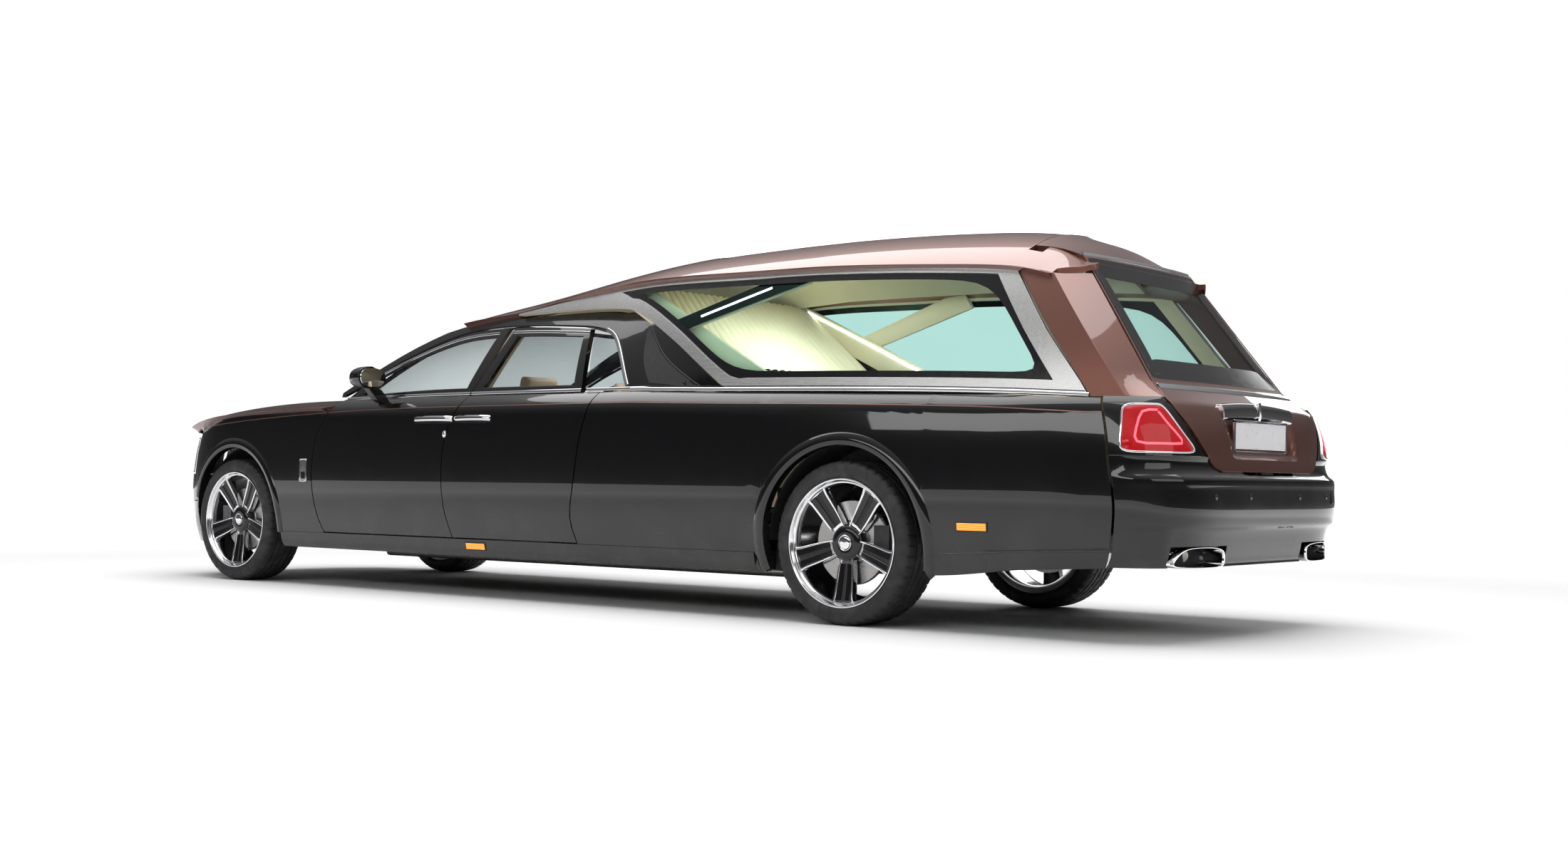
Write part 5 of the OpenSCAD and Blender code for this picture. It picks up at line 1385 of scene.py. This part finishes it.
def bumperAt(c, z, off=0):
    step = curve(bumperSizes["step"], z)
    if c[0] == 0:
        return Vector((tailSkinX(c[1], z) + step * (off == 0) + off, c[1], z))
    p = skin(c[1], z)
    k = (tailShut - c[1]) / (tailShut - tailTurn)
    return Vector((p.x + off * 0.9 * k, -c[0] * (p.y - step * (off == 0) * k) + off * c[0] * (1 - 0.5 * k),
                   z))


def mouth(y0, y1, low, high):                     # the cells between two widths, left out of the bumper
    ends = [i for i, (side, y) in enumerate(bumperCols[::-1])
            if side == 0 and min(abs(y - y0), abs(y - y1)) < 1]
    return min(ends), max(ends), low, high


shell("rearBumper", bumperCols[::-1], refine(bumperZs, 4), bumperAt, (0, 60), "black", both=False,
      skips=[mouth(-770, -380, 0, 4), mouth(770, 380, 0, 4), mouth(-250, 250, 28, 32)],
      replaces="rear_bumper", slot="gloss_black", bevel=2)
addPiece("tailLatch", *block((tailSkinX(0, 680) + 12, -60, 679), (tailSkinX(0, 680) + 40, 60, gateLow - 0.3)),
         "blackMatt")
for k, y in enumerate(bumperSizes["sensors"]):
    z = bumperSizes["sensorZ"]
    at = Vector((tailSkinX(y, z) - 3, y, z))
    for j, profile in enumerate(([(0.1, 1.5), (8, 1.2), (9, 0), (9, -4)],
                                 [(10, 0.5), (12, 1.0), (13, 0), (13, -3), (10, -3)])):
        turn = Matrix.Rotation(math.pi / 2, 4, "Z")
        addPiece("sensor%d%d" % (k, j), *moved(lathe(profile, 28), at, turn),
                 "black" if j == 0 else "blackMatt")
coverYs, coverZs = steps(-700, -640, 4), steps(560, 632, 4)
for name, wide, out, look in (("towCoverEdge", 2.5, 4.2, "blackMatt"), ("towCover", 0, 5, "black")):
    ys, zs = ([v[0] - wide] + v[1:-1] + [v[-1] + wide] for v in (coverYs, coverZs))
    shell(name, ys, zs, lambda y, z, off: Vector((tailSkinX(y, z) + off, y, z)), (-out, 2), look, both=False,
          bevel=1)


tipSizes = {"outline": ((398, 318), (394, 352), (404, 384), (560, 390), (676, 388), (724, 366), (764, 322),
                        (750, 309), (560, 306), (420, 307)), "pipeR": 28}


def tipLoop(grow):
    out = [(590 + (y - 575) * grow, 344 + (z - 348) * grow) for y, z in tipSizes["outline"]]
    return smoothed(between(out, 4, True), 6)


def tipX(y):
    return tailSkinX(y, 345) + 6


rings = []
for grow, x in ((1.03, 50), (1.03, 0), (1.0, -5), (0.95, -5), (0.92, 0), (0.92, 130)):
    rings.append([Vector((tipX(y) + x, y, z)) for y, z in tipLoop(grow)])
tip = loft(rings, False)
inside = [Vector((tipX(y) + 120, y, z)) for y, z in tipLoop(0.93)]
pipe = [(3790, 322, 186), (600, 322, 186), (470, 322, 190), (400, 322, 240), (372, 322, 330), (350, 322, 430),
        (290, 322, 490), (200, 322, 500), (-780, 322, 500), (-890, 322, 480), (-940, 322, 430),
        (-985, 330, 390)]
pipe, r = between(pipe, 2), tipSizes["pipeR"]
tube = [(r * math.cos(a), r * math.sin(a)) for a in steps(0, 2 * math.pi, 20)[:-1]]
silencer = [block((-1380, 250, 322), (-980, 580, 448), 38), block((-1180, 380, 446), (-1150, 400, 482), 4)]
silencer += [block((x, 314, 212), (x + 30, 334, 222), 3) for x in (800, 1800, 2800)]
silencer += [sweep([(-1340, 470, 350), (-1375, 500, 348), (-1395, 515, 346)], (0, 0, 1), tube)]
pair("exhaustPipe", sweep(pipe, (0, 1, 0.001), tube), "exhaust", replaces="exhaust_system",
     slot="exhaust_steel", angle=50)
pair("silencer", merged(*silencer), "exhaust")
pair("exhaustTip", tip, "chrome")
pair("exhaustDark", loft([inside, [p + Vector((4, 0, 0)) for p in inside]]), "blackMatt")
print("tail made")

# Lamps and trim on the sides
markers = {"rearMarker": (-752, -598, 428, 472), "frontMarker": (2288, 2442, 248, 292)}
for name, (s0, s1, z0, z1) in markers.items():
    shell(name + "Frame", steps(s0, s1, 6), steps(z0, z1, 3), skinOff, (3, 0.5), "blackGloss",
          replaces=() if name == "frontMarker" else "marker_lamps", bevel=1)
    shell(name + "Lens", steps(s0 + 7, s1 - 7, 6), steps(z0 + 7, z1 - 7, 3), skinOff, (4.4, 1), "amber",
          slot="lamp_amber", bevel=1)


def lineZ(x):                                    # the coach line's height
    return belt(x) - 58 - 1.6e-5 * max(0, x - 2600) ** 2


def shutAt(shut, add):                            # where a shut line meets the coach line
    x = shut(1000)
    for _ in range(6):
        x = shut(lineZ(x)) + add
    return x


coachLines = {"wingLine": ("body", shutAt(shutFront, gap + 6), fa + 420),
              "frontDoorLine": ("front_door_{}", shutAt(shutMid, 7), shutAt(shutFront, -4)),
              "rearDoorLine": ("rear_door_{}", shutAt(shutRear, 4), shutAt(shutMid, -7)),
              "sideLine": ("body", tailShut + gap + 4, shutAt(shutRear, -gap - 4))}
for name, (body, x0, x1) in coachLines.items():
    xs = steps(x0, x1, 40)
    strip(name, [skinOff(x, lineZ(x), 0.1) for x in xs], [skinOut(x, lineZ(x)) for x in xs],
          barProfile(5, 0.7), "copper", body)
# A wide rounded lip round each arch, and the crease along the foot of the tail
lip = [(-30, -4), (-29, 1), (-18, 6.5), (0, 8), (12, 4), (26, 0.2), (30, -4)]
for name, cx, a0, a1 in (("rearLip", 0, -18, 198), ("frontLip", fa, 8, 188)):
    path, outs = [], []
    for a in steps(math.radians(a0), math.radians(a1), 60):
        x, z = cx + (archR + 27) * math.cos(a), tyreR + (archR + 27) * math.sin(a)
        z = max(z, (sillZ(x) if cx == 0 else sillLow) + 8)
        if x > fa + archR * 0.98 and z < 476:
            continue
        path.append(skin(x, z))
        outs.append(skinOut(x, z))
    strip(name, path, outs, lip, "black", slot="gloss_black")
path = [skinOff(x, skirtZ(x) + 8, -1) for x in steps(tailShut + gap + 6, -archR - 70, 24)]
strip("skirtCrease", path, (0, 1, 0.2), barProfile(7, 2.4), "black")
path = [skinOff(x, 352 + 26 * max(0, (-700 - x) / 600), -1) for x in steps(tailShut + gap + 8, -720, 20)]
strip("tailCrease", path, (0, 1, 0), barProfile(5, 1.6), "blackMatt")

# Door handles, lock and badge
handleSizes = {"z": 936, "rise": 27, "front": (2535, 2828), "rear": (2242, 2505), "cup": (14, 22),
               "section": [(-13, -5), (-14, 0), (-9, 6), (0, 8.5), (9, 6), (14, 0), (13, -5), (0, -7)]}
handleZ, (cupX, cupZ) = handleSizes["z"], handleSizes["cup"]
for word in ("front", "rear"):
    name, body, (x0, x1) = word + "Handle", word + "_door_{}", handleSizes[word]
    xs, profile = steps(x0, x1, 24), handleSizes["section"]
    lift = [3 + handleSizes["rise"] * math.sin(math.pi * k / 24) ** 0.35 for k in range(25)]
    path = [skinOff(x, handleZ, h) for x, h in zip(xs, lift)]
    strip(name, path, [skinOut(x, handleZ) for x in xs], profile, "chrome", body, slot="bright_chrome")
    shell(name + "Cup", steps(x0 - cupX, x1 + cupX, 20), steps(-cupZ, cupZ, 5),
          lambda x, h: skinOff(x, handleZ + h, 0.8), lambda x, h: skinOff(x, handleZ + h, -0.6), "blackGloss",
          body, bevel=0.4)
lock = lathe([(0.1, 4), (8, 3.6), (10, 2), (11, 2.6), (13, 2), (14, 0), (14, -2)], 32)
pair("doorLock", moved(lock, skin(2590, 856), Matrix.Scale(1.35, 4, (0, 0, 1))), "chrome", "front_door_{}")
dense = between([(3762, 598), (3762, 722), (3818, 722), (3818, 598)], 8, True)
strip("wingBadgeRim", [skinOff(x, z, 0.2) for x, z in dense], [skinOut(x, z) for x, z in dense],
      barProfile(9, 5), "chrome", closed=True)
shell("wingBadgeFace", steps(3766, 3814, 4), steps(602, 718, 8), skinOff, (1.6, -0.4), "polished")
shell("wingBadgeVent", steps(3772, 3808, 3), steps(610, 650, 3), skinOff, (2.6, 1), "blackGloss",
      bevel=1)

# Door mirrors
mirrorX, mirrorZ = fa - 1330, beltH + 105
mirrorSizes = {"halfWidth": 96, "halfHeight": 62}


def squircle(b):                                 # one point of a circle drawn towards a square
    return [math.copysign(abs(k) ** 0.8, k) for k in (math.cos(b), math.sin(b))]


def mirrorRing(t):
    r, ring = (1 - t**3.2) ** 0.42, []
    for a in range(28):
        y, z = squircle(2 * math.pi * a / 28)
        ring.append(Vector((mirrorX - 44 + 146 * t, halfW + 36 + mirrorSizes["halfWidth"] * y * r - 8 * t,
                            mirrorZ + 2 + mirrorSizes["halfHeight"] * z * r * (1 - 0.15 * (y < 0)))))
    return ring


pair("mirrorHousing", loft([mirrorRing(k / 14) for k in range(15)]), "black", "front_door_{}",
     replaces="mirror_{}", slot="gloss_black", bevel=4)
glassRings = []
for grow, x in ((1, 3), (0.98, -1), (0.5, -2), (0.05, -2.2)):
    face = [squircle(b) for b in steps(0, 2 * math.pi, 40)[:-1]]
    glassRings.append([Vector((mirrorX - 46.5 + x, halfW + 36 + 84 * grow * y, mirrorZ + 3 + 52 * grow * z))
                       for y, z in face][::-1])
pair("mirrorFace", loft(glassRings), "mirrorGlass", "front_door_{}")
y1, y2 = sideY(mirrorX, 1034), sideY(mirrorX, beltH)
foot = [(y1 + 0.3, 1034), (y2 + 0.3, beltH), (halfW - 46, beltH + 46), (halfW + 30, beltH + 58),
        (halfW + 44, beltH + 50), (halfW - 12, 1052), (y1 + 16, 1034)]
pair("mirrorFoot", loft([[Vector((mirrorX + x, y, z)) for y, z in foot] for x in (-22, -8, 8, 26)]), "black",
     "front_door_{}", bevel=4)
strip("mirrorLamp", [Vector((mirrorX + 60 - 0.011 * (y - halfW - 20) ** 2, y,
                             mirrorZ + 8)) for y in steps(halfW - 30, halfW + 98, 12)], (1, 0.2, 0),
      barProfile(7, 34), "amber", "front_door_{}")
print("trim made")

# Wheels, built about their own centres with the outer side towards +Y
rimR = car["rimR"]
tyreLine = [(rimR - 14, -99), (rimR - 2, -112), (rimR + 6, -121), (rimR + 16, -126), (313, -127.5),
            (330, -125.5), (344, -119), (353, -111.5), (358, -103), (360, -93.5), (361.2, -84)]
wheelSizes = {"grooves": (-60, -21, 21, 60), "spokes": 5, "firstSpoke": 270}
tread = []
for y in wheelSizes["grooves"]:
    tread += [(361.9, y - 6), (361, y - 5.2), (353.5, y - 4), (353.5, y + 4), (361, y + 5.2), (361.9, y + 6)]
tyreLine = tyreLine + tread + [(r, -y) for r, y in tyreLine[::-1]]


def siped(r, y, k):                               # cuts across the shoulders, and fine ones across the ribs
    if abs(y) > 70 and r > 340:
        return r - (5.5 if k % 6 == 0 else 0) * min(1, (r - 340) / 14)
    if r > 361.5 and abs(y) < 70:
        return r - (3 if (k + (2 if y > 0 else 0)) % 8 == 0 else 0)
    return r


tyreMesh = lathe(tyreLine, 288, siped)
barrel = [(rimR - 13, -98), (rimR, -112), (rimR + 1, -120), (rimR - 2, -121.5), (rimR - 34, -121),
          (rimR - 38, -110), (rimR - 34, -60), (rimR - 30, 60), (rimR - 27, 84), (rimR - 24, 100),
          (rimR - 21, 104), (rimR - 16, 106), (rimR - 13, 112), (rimR - 9, 119), (rimR - 4, 121.5),
          (rimR, 121), (rimR + 1, 117), (rimR, 112), (rimR - 13, 98), (rimR - 17, 80), (rimR - 17, -80),
          (rimR - 13, -98)]
rimMesh = lathe(barrel, 144)


def spokeFace(r):
    return curve([(60, 76), (150, 85), (262, 103)], r)


def spokePart(section, r0, r1, angle, n=12):
    rings, a = [], math.radians(angle)
    for r in steps(r0, r1, n):
        k, y0 = curve([(60, 0.62), (120, 0.80), (262, 1.0)], r), spokeFace(r)
        bulge = 1 + 0.16 * max(0, (r - 225) / 40) ** 2
        rings.append([(r * math.cos(a) - t * k * bulge * math.sin(a), y0 + h,
                       r * math.sin(a) + t * k * bulge * math.cos(a)) for t, h in section])
    return loft(rings)


spokeSection = [(-51, -36), (-53, -5), (-51, -1), (-48, 0), (-42, -0.6), (-40, -3), (-39, -8), (39, -8),
                (40, -3), (42, -0.6), (48, 0), (51, -1), (53, -5), (51, -36)]
insetSection = [(-38.6, -7.5), (-38.6, -4), (-37, -3), (-13, -3), (-11, -4.5), (-11, -7.5)]
# The slot down each spoke is a thin matt black strip on the channel floor between the black insets: painted
# shade standing in for the dark seen through the open slot
slotShadeSection = [(-11, -7.7), (-11, -7), (11, -7), (11, -7.7)]
turns = [wheelSizes["firstSpoke"] + 360 / wheelSizes["spokes"] * k for k in range(wheelSizes["spokes"])]
spokes = merged(*(spokePart(spokeSection, 58, rimR - 19, a) for a in turns))
insets = merged(*(spokePart(section, 92, rimR - 31, a) for a in turns
                  for section in (insetSection, [(-t, h) for t, h in insetSection[::-1]])))
slotShade = merged(*(spokePart(slotShadeSection, 92, rimR - 31, a) for a in turns))
hub = lathe([(0.1, 88), (31, 88), (33, 84), (44, 86), (62, 84), (72, 80), (78, 74), (84, 60), (84, 34)], 72)
cap = lathe([(0.1, 92.4), (20, 92), (27, 91), (30, 89), (30.5, 84)], 48)
capRing = lathe([(30.5, 86), (31, 89.5), (33, 90), (35, 88.5), (35, 84)], 48)


discFace = lathe([(70, 35), (92, 35), (96, 30), (100, 30), (101, 34.5), (185, 34.5), (187, 32), (187, 24),
                  (184, 22), (186, 20), (187, 12), (185, 8), (70, 8)], 96)
wheelParts = (("Tyre", tyreMesh, "rubber", "tyre"), ("Rim", rimMesh, "polished", "rim"),
              ("Spokes", spokes, "polished", ""), ("Insets", insets, "blackGloss", ""),
              ("Slots", slotShade, "blackMatt", ""), ("Hub", hub, "blackGloss", ""), ("Cap", cap, "chrome", ""),
              ("CapRing", capRing, "polished", ""), ("Disc", discFace, "disc", ""))
for end, x, y in (("front", fa, frontY), ("rear", 0, rearY)):
    for part, mesh, look, node in wheelParts:
        extra = {"replaces": node + "_" + end + "_{}",
                 "slot": "tyre_rubber" if node == "tyre" else "wheel_alloy"} if node else {}
        pair(end + part, flipped(moved(mesh, (x, y, tyreR))), look, "wheel_" + end + "_{}", angle=30, **extra)
print("wheels made")

# Inside
upright = Matrix.Rotation(math.pi / 2, 4, "X")    # stands a turned piece up along Z
tunnelZ, wallX, dashX, wheelY = 400, archR + 620, fa - 730, 370
seatSizes = {"rows": (("front", fa - 1960, 520), ("rear", fa - 2950, 560)), "bolster": (430, 74, 70),
             "base": 470}
for row, x, w in seatSizes["rows"]:
    bolster = seatSizes["bolster"]
    for part, mesh in (("Cushion", pad((530, w, 120), (x + 350, wheelY, 520), -0.06, 4, 20, 16)),
                       ("Back", pad((470, w - 20, 96), (x + 24, wheelY, 790), 1.33, 5, 18, 26)),
                       ("Head", pad((130, w * 0.5, 74), (x - 52, wheelY, 1122), 1.38, 0, 10, 14, 14)),
                       ("BolsterIn", pad(bolster, (x + 340, wheelY - w / 2 + 44, 584), -0.06, 0, 14, 10, 14)),
                       ("BolsterOut", pad(bolster, (x + 340, wheelY + w / 2 - 44, 584), -0.06, 0, 14, 10,
                                          14))):
        extra = {"replaces": "seats", "slot": "beige_leather"} if part == "Cushion" else {}
        for piece in pair(row + "Seat" + part, mesh, "leather", angle=60, **extra):
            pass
    posts = [block((x - 72, wheelY + y - 6, 985), (x - 60, wheelY + y + 6, 1080), 3) for y in (-60, 60)]
    base = block((x + 30, wheelY - w / 2 + 20, tunnelZ - 150), (x + 600, wheelY + w / 2 - 20,
                                                                seatSizes["base"]), 18)
    pair(row + "SeatBase", merged(base, *posts), "grey")
dashSizes = {"vents": (-640, -170, 170, 640), "stack": 118, "screen": 150, "hood": 26}
dashLine = [(-6, 640), (-4, 990), (-30, 984), (-110, 990), (-230, 978), (-320, 958), (-372, 930), (-392, 902),
            (-386, 880), (-350, 868), (-338, 780), (-300, 720), (-180, 640)]


def dashRing(y):
    k = 1 - 0.10 * max(0, abs(y) / 700 - 0.55) ** 2
    hood = dashSizes["hood"] * math.exp(-((y - wheelY) / 150) ** 4)
    return [Vector((dashX + dx * k - (hood * 0.4 if dx < -200 else 0), y,
                    z + (hood if dx < -100 and z > 860 else 0))) for dx, z in dashLine]


addPiece("dashTop", *loft([dashRing(y) for y in steps(halfW - 262, 262 - halfW, 56)]), "darkLeather",
         replaces="dashboard", slot="black_plastic", bevel=5, angle=40)
addPiece("dashStack", *block((dashX - 372, -dashSizes["stack"], 560), (dashX - 150, dashSizes["stack"], 860),
                             20), "blackGloss")
addPiece("dashScreen", *block((dashX - 398, -dashSizes["screen"], 900),
                              (dashX - 386, dashSizes["screen"], 1010), 5), "blackGloss")
for k, y in enumerate(dashSizes["vents"]):
    slats = [block((dashX - 398, y - 52, z), (dashX - 384, y + 52, z + 5), 1.5) for z in range(876, 930, 12)]
    addPiece("dashVent%d" % k, *merged(*slats), "chrome")
addPiece("console", *block((fa - 2000, -112, tunnelZ), (dashX - 200, 112, 600), 24), "darkLeather")
addPiece("gearKnob", *moved(lathe([(0.1, 40), (16, 38), (22, 26), (20, 10), (10, 0), (8, -60)], 28),
                            (fa - 1420, 0, 640), upright), "chrome")
# The wall behind the cab: a grey box below and a quilted panel leaning forward above it
addPiece("wallBox", *block((wallX - 2, -600, 640), (wallX + 46, 600, 1190), 14), "grey", replaces="partition",
         slot="cream_fabric")
addPiece("wallRail", *block((wallX - 22, -560, 1150), (wallX + 4, 560, 1186), 8), "steel")
quiltSizes = {"ribs": 26, "puff": 13}


def quiltAt(v, t, off=0):
    x, z = mix(wallX + 6, wallX + 390, t), mix(1192, 1588, t)
    half = bayY(x, z) - 60
    puff = quiltSizes["puff"] * abs(math.sin(math.pi * v * quiltSizes["ribs"] / 2)) ** 0.7
    return Vector((x - (puff if off == 0 else 0) * 0.72 + off, v * half, z + (0 if off else puff * 0.6)))


shell("wallQuilt", steps(1, -1, quiltSizes["ribs"] * 6), steps(0, 1, 6), quiltAt, (0, 22), "cream",
      both=False, flip=True, angle=50)
deckSizes = {"strips": (-430, -200, 200, 430), "pinY": 320, "rail": (560, 962), "spotXs": (-380, 1250),
             "spotV": 0.42}
deckRear = tailEnd + 230
for k, y in enumerate(deckSizes["strips"]):
    addPiece("deckStrip%d" % k, *block((deckRear + 30, y - 9, car["deck"] - 1),
                                       (wallX - 12, y + 9, car["deck"] + 6), 2.5), "steel")
for k, x in enumerate(steps(deckRear + 330, wallX - 330, 3)):
    post = lathe([(0.1, 46), (11, 45), (14, 40), (12, 8), (24, 4), (28, 0), (28, -2)], 28)
    pair("deckPin%d" % k, moved(post, (x, deckSizes["pinY"], car["deck"]), upright), "chrome")
rail = [Vector((x, *deckSizes["rail"])) for x in steps(deckRear + 70, wallX - 20, 24)]
pair("bayRail", sweep(rail, (0, 0, 1), barProfile(30, 12)), "steel")
for k, x in enumerate(steps(*deckSizes["spotXs"], 4)):
    for j, v in enumerate((-deckSizes["spotV"], deckSizes["spotV"])):
        p = roofPoint(x, v)
        lamp = lathe([(0.1, -3), (26, -3), (28, 0), (36, 1), (38, 4), (38, 10)], 32)
        at = (x, p.y, p.z - car["frameThick"] - 36)
        addPiece("spot%d%d" % (k, j), *moved(lamp, at, upright), "chrome")
        glow = lathe([(0.1, -5), (20, -4.6), (25, -3), (25, 0)], 32)
        addPiece("spotGlow%d%d" % (k, j), *moved(glow, at, upright), "led")
print("inside made")

# Looks of the CAD nodes that stay
cadLooks = {"floor_pan": "chassis", "arch_liners": "blackMatt", "front_subframe": "chassis",
            "rear_subframe": "chassis", "engine_block": "cast", "exhaust_system": "exhaust",
            "steering_wheel": "darkLeather", "coffin_deck": "deck", "bay_lining": "cream",
            "knuckle_left": "cast", "knuckle_right": "cast"}
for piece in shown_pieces():
    look = cadLooks.get(piece.get("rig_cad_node"))
    if look:
        piece.data.materials.clear()
        piece.data.materials.append(looks[look])
print("carried nodes dressed")

# Camera, light and floor
cameraSizes = {"yaw": -0.866, "pitch": -0.006, "roll": 0.012, "lens": 41.76, "sensor": 36,
               "shift": (0.0481, 0.0404), "place": (-4.710, 7.381, 0.631)}
yaw, pitch, roll = cameraSizes["yaw"], cameraSizes["pitch"], cameraSizes["roll"]
view = Vector((math.cos(pitch) * math.cos(yaw), math.cos(pitch) * math.sin(yaw), math.sin(pitch)))
right = view.cross(Vector((0, 0, 1))).normalized()
up = right.cross(view)
right, up = right * math.cos(roll) + up * math.sin(roll), up * math.cos(roll) - right * math.sin(roll)
camera = bpy.data.objects.new("camera", bpy.data.cameras.new("camera"))
bpy.context.scene.collection.objects.link(camera)
camera.data.lens, camera.data.sensor_width = cameraSizes["lens"], cameraSizes["sensor"]
camera.data.shift_x, camera.data.shift_y = cameraSizes["shift"]
place = Matrix((right, up, -view)).transposed().to_4x4()
place.translation = Vector(cameraSizes["place"]) + Vector((axleX / 1000, 0, 0))
camera.matrix_world = place
camera.data.clip_end = 200
bpy.context.scene.camera = camera

stageSizes = {"floor": 60.0, "floorTone": 0.82, "fade": (5.0, 12.0)}
ground = bpy.data.meshes.new("ground")
r = stageSizes["floor"]
ground.from_pydata([(-r, -r, -0.001), (r, -r, -0.001), (r, r, -0.001), (-r, r, -0.001)], [], [(0, 1, 2, 3)])
floor = bpy.data.objects.new("ground", ground)
bpy.context.scene.collection.objects.link(floor)
floorLook = Shade("floorPaint", (stageSizes["floorTone"],) * 3, 0.7, specular_ior_level=0.2)
reach = floorLook.node("ShaderNodeVectorMath", {"operation": "LENGTH"}, {0: floorLook.place()}, 1)
floorLook.put("Emission Color", floorLook.blend(reach.within(*stageSizes["fade"]), (0, 0, 0), (1, 1, 1)))
floorLook.put("Emission Strength", 0.9)
ground.materials.append(floorLook.material)
world = bpy.data.worlds.new("studio")
bpy.context.scene.world = world
world.use_nodes = True
tree = world.node_tree
back = tree.nodes["Background"]
coordinate, split, ramp, seen, plain, mixer = (tree.nodes.new(kind) for kind in (
    "ShaderNodeTexCoord", "ShaderNodeSeparateXYZ", "ShaderNodeValToRGB", "ShaderNodeLightPath",
    "ShaderNodeBackground", "ShaderNodeMixShader"))
tree.links.new(coordinate.outputs["Generated"], split.inputs[0])
tree.links.new(split.outputs[2], ramp.inputs[0])
ramp.color_ramp.elements.new(0.3)
ramp.color_ramp.elements.new(0.7)
for stop, (at, tone) in zip(ramp.color_ramp.elements, ((0.0, 0.10), (0.22, 0.05), (0.55, 0.35), (1.0, 0.8))):
    stop.position, stop.color = at, (tone, tone, tone * 1.02, 1)
tree.links.new(ramp.outputs[0], back.inputs[0])
tree.links.new(seen.outputs["Is Camera Ray"], mixer.inputs[0])
tree.links.new(back.outputs[0], mixer.inputs[1])
tree.links.new(plain.outputs[0], mixer.inputs[2])
plain.inputs[0].default_value = (1, 1, 1, 1)
tree.links.new(mixer.outputs[0], next(n for n in tree.nodes if n.type == "OUTPUT_WORLD").inputs[0])
# name: place, target, size, power; the last two light the inside
lights = {"overhead": ((0.3, 0.0, 7.0), (0.3, 0, 0), (12.0, 8.0), 780),
          "side": ((-1.0, 10.0, 4.2), (0, 0, 0.8), (12.0, 1.6), 230),
          "tail": ((-10.5, 1.5, 3.8), (-2.5, 0, 0.9), (7.0, 2.6), 90),
          "far": ((2.0, -9.5, 4.0), (0, 0, 1.0), (10.0, 2.0), 160),
          "bay": ((-1.7, 0.0, 1.60), (-1.7, 0, 0.7), (1.7, 0.7), 26),
          "cab": ((0.1, 0.0, 1.40), (0.1, 0, 0.6), (1.0, 0.7), 10)}
for name, (at, target, size, power) in lights.items():
    lamp = bpy.data.lights.new(name, "AREA")
    lamp.shape, lamp.size, lamp.size_y, lamp.energy = "RECTANGLE", size[0], size[1], power
    holder = bpy.data.objects.new(name, lamp)
    bpy.context.scene.collection.objects.link(holder)
    holder.location = at
    holder.visible_camera = holder.visible_glossy = name not in ("bay", "cab")
    holder.rotation_euler = (Vector(target) - Vector(at)).to_track_quat("-Z", "Y").to_euler()
bpy.context.scene.view_settings.view_transform = "Standard"
print("stage made")
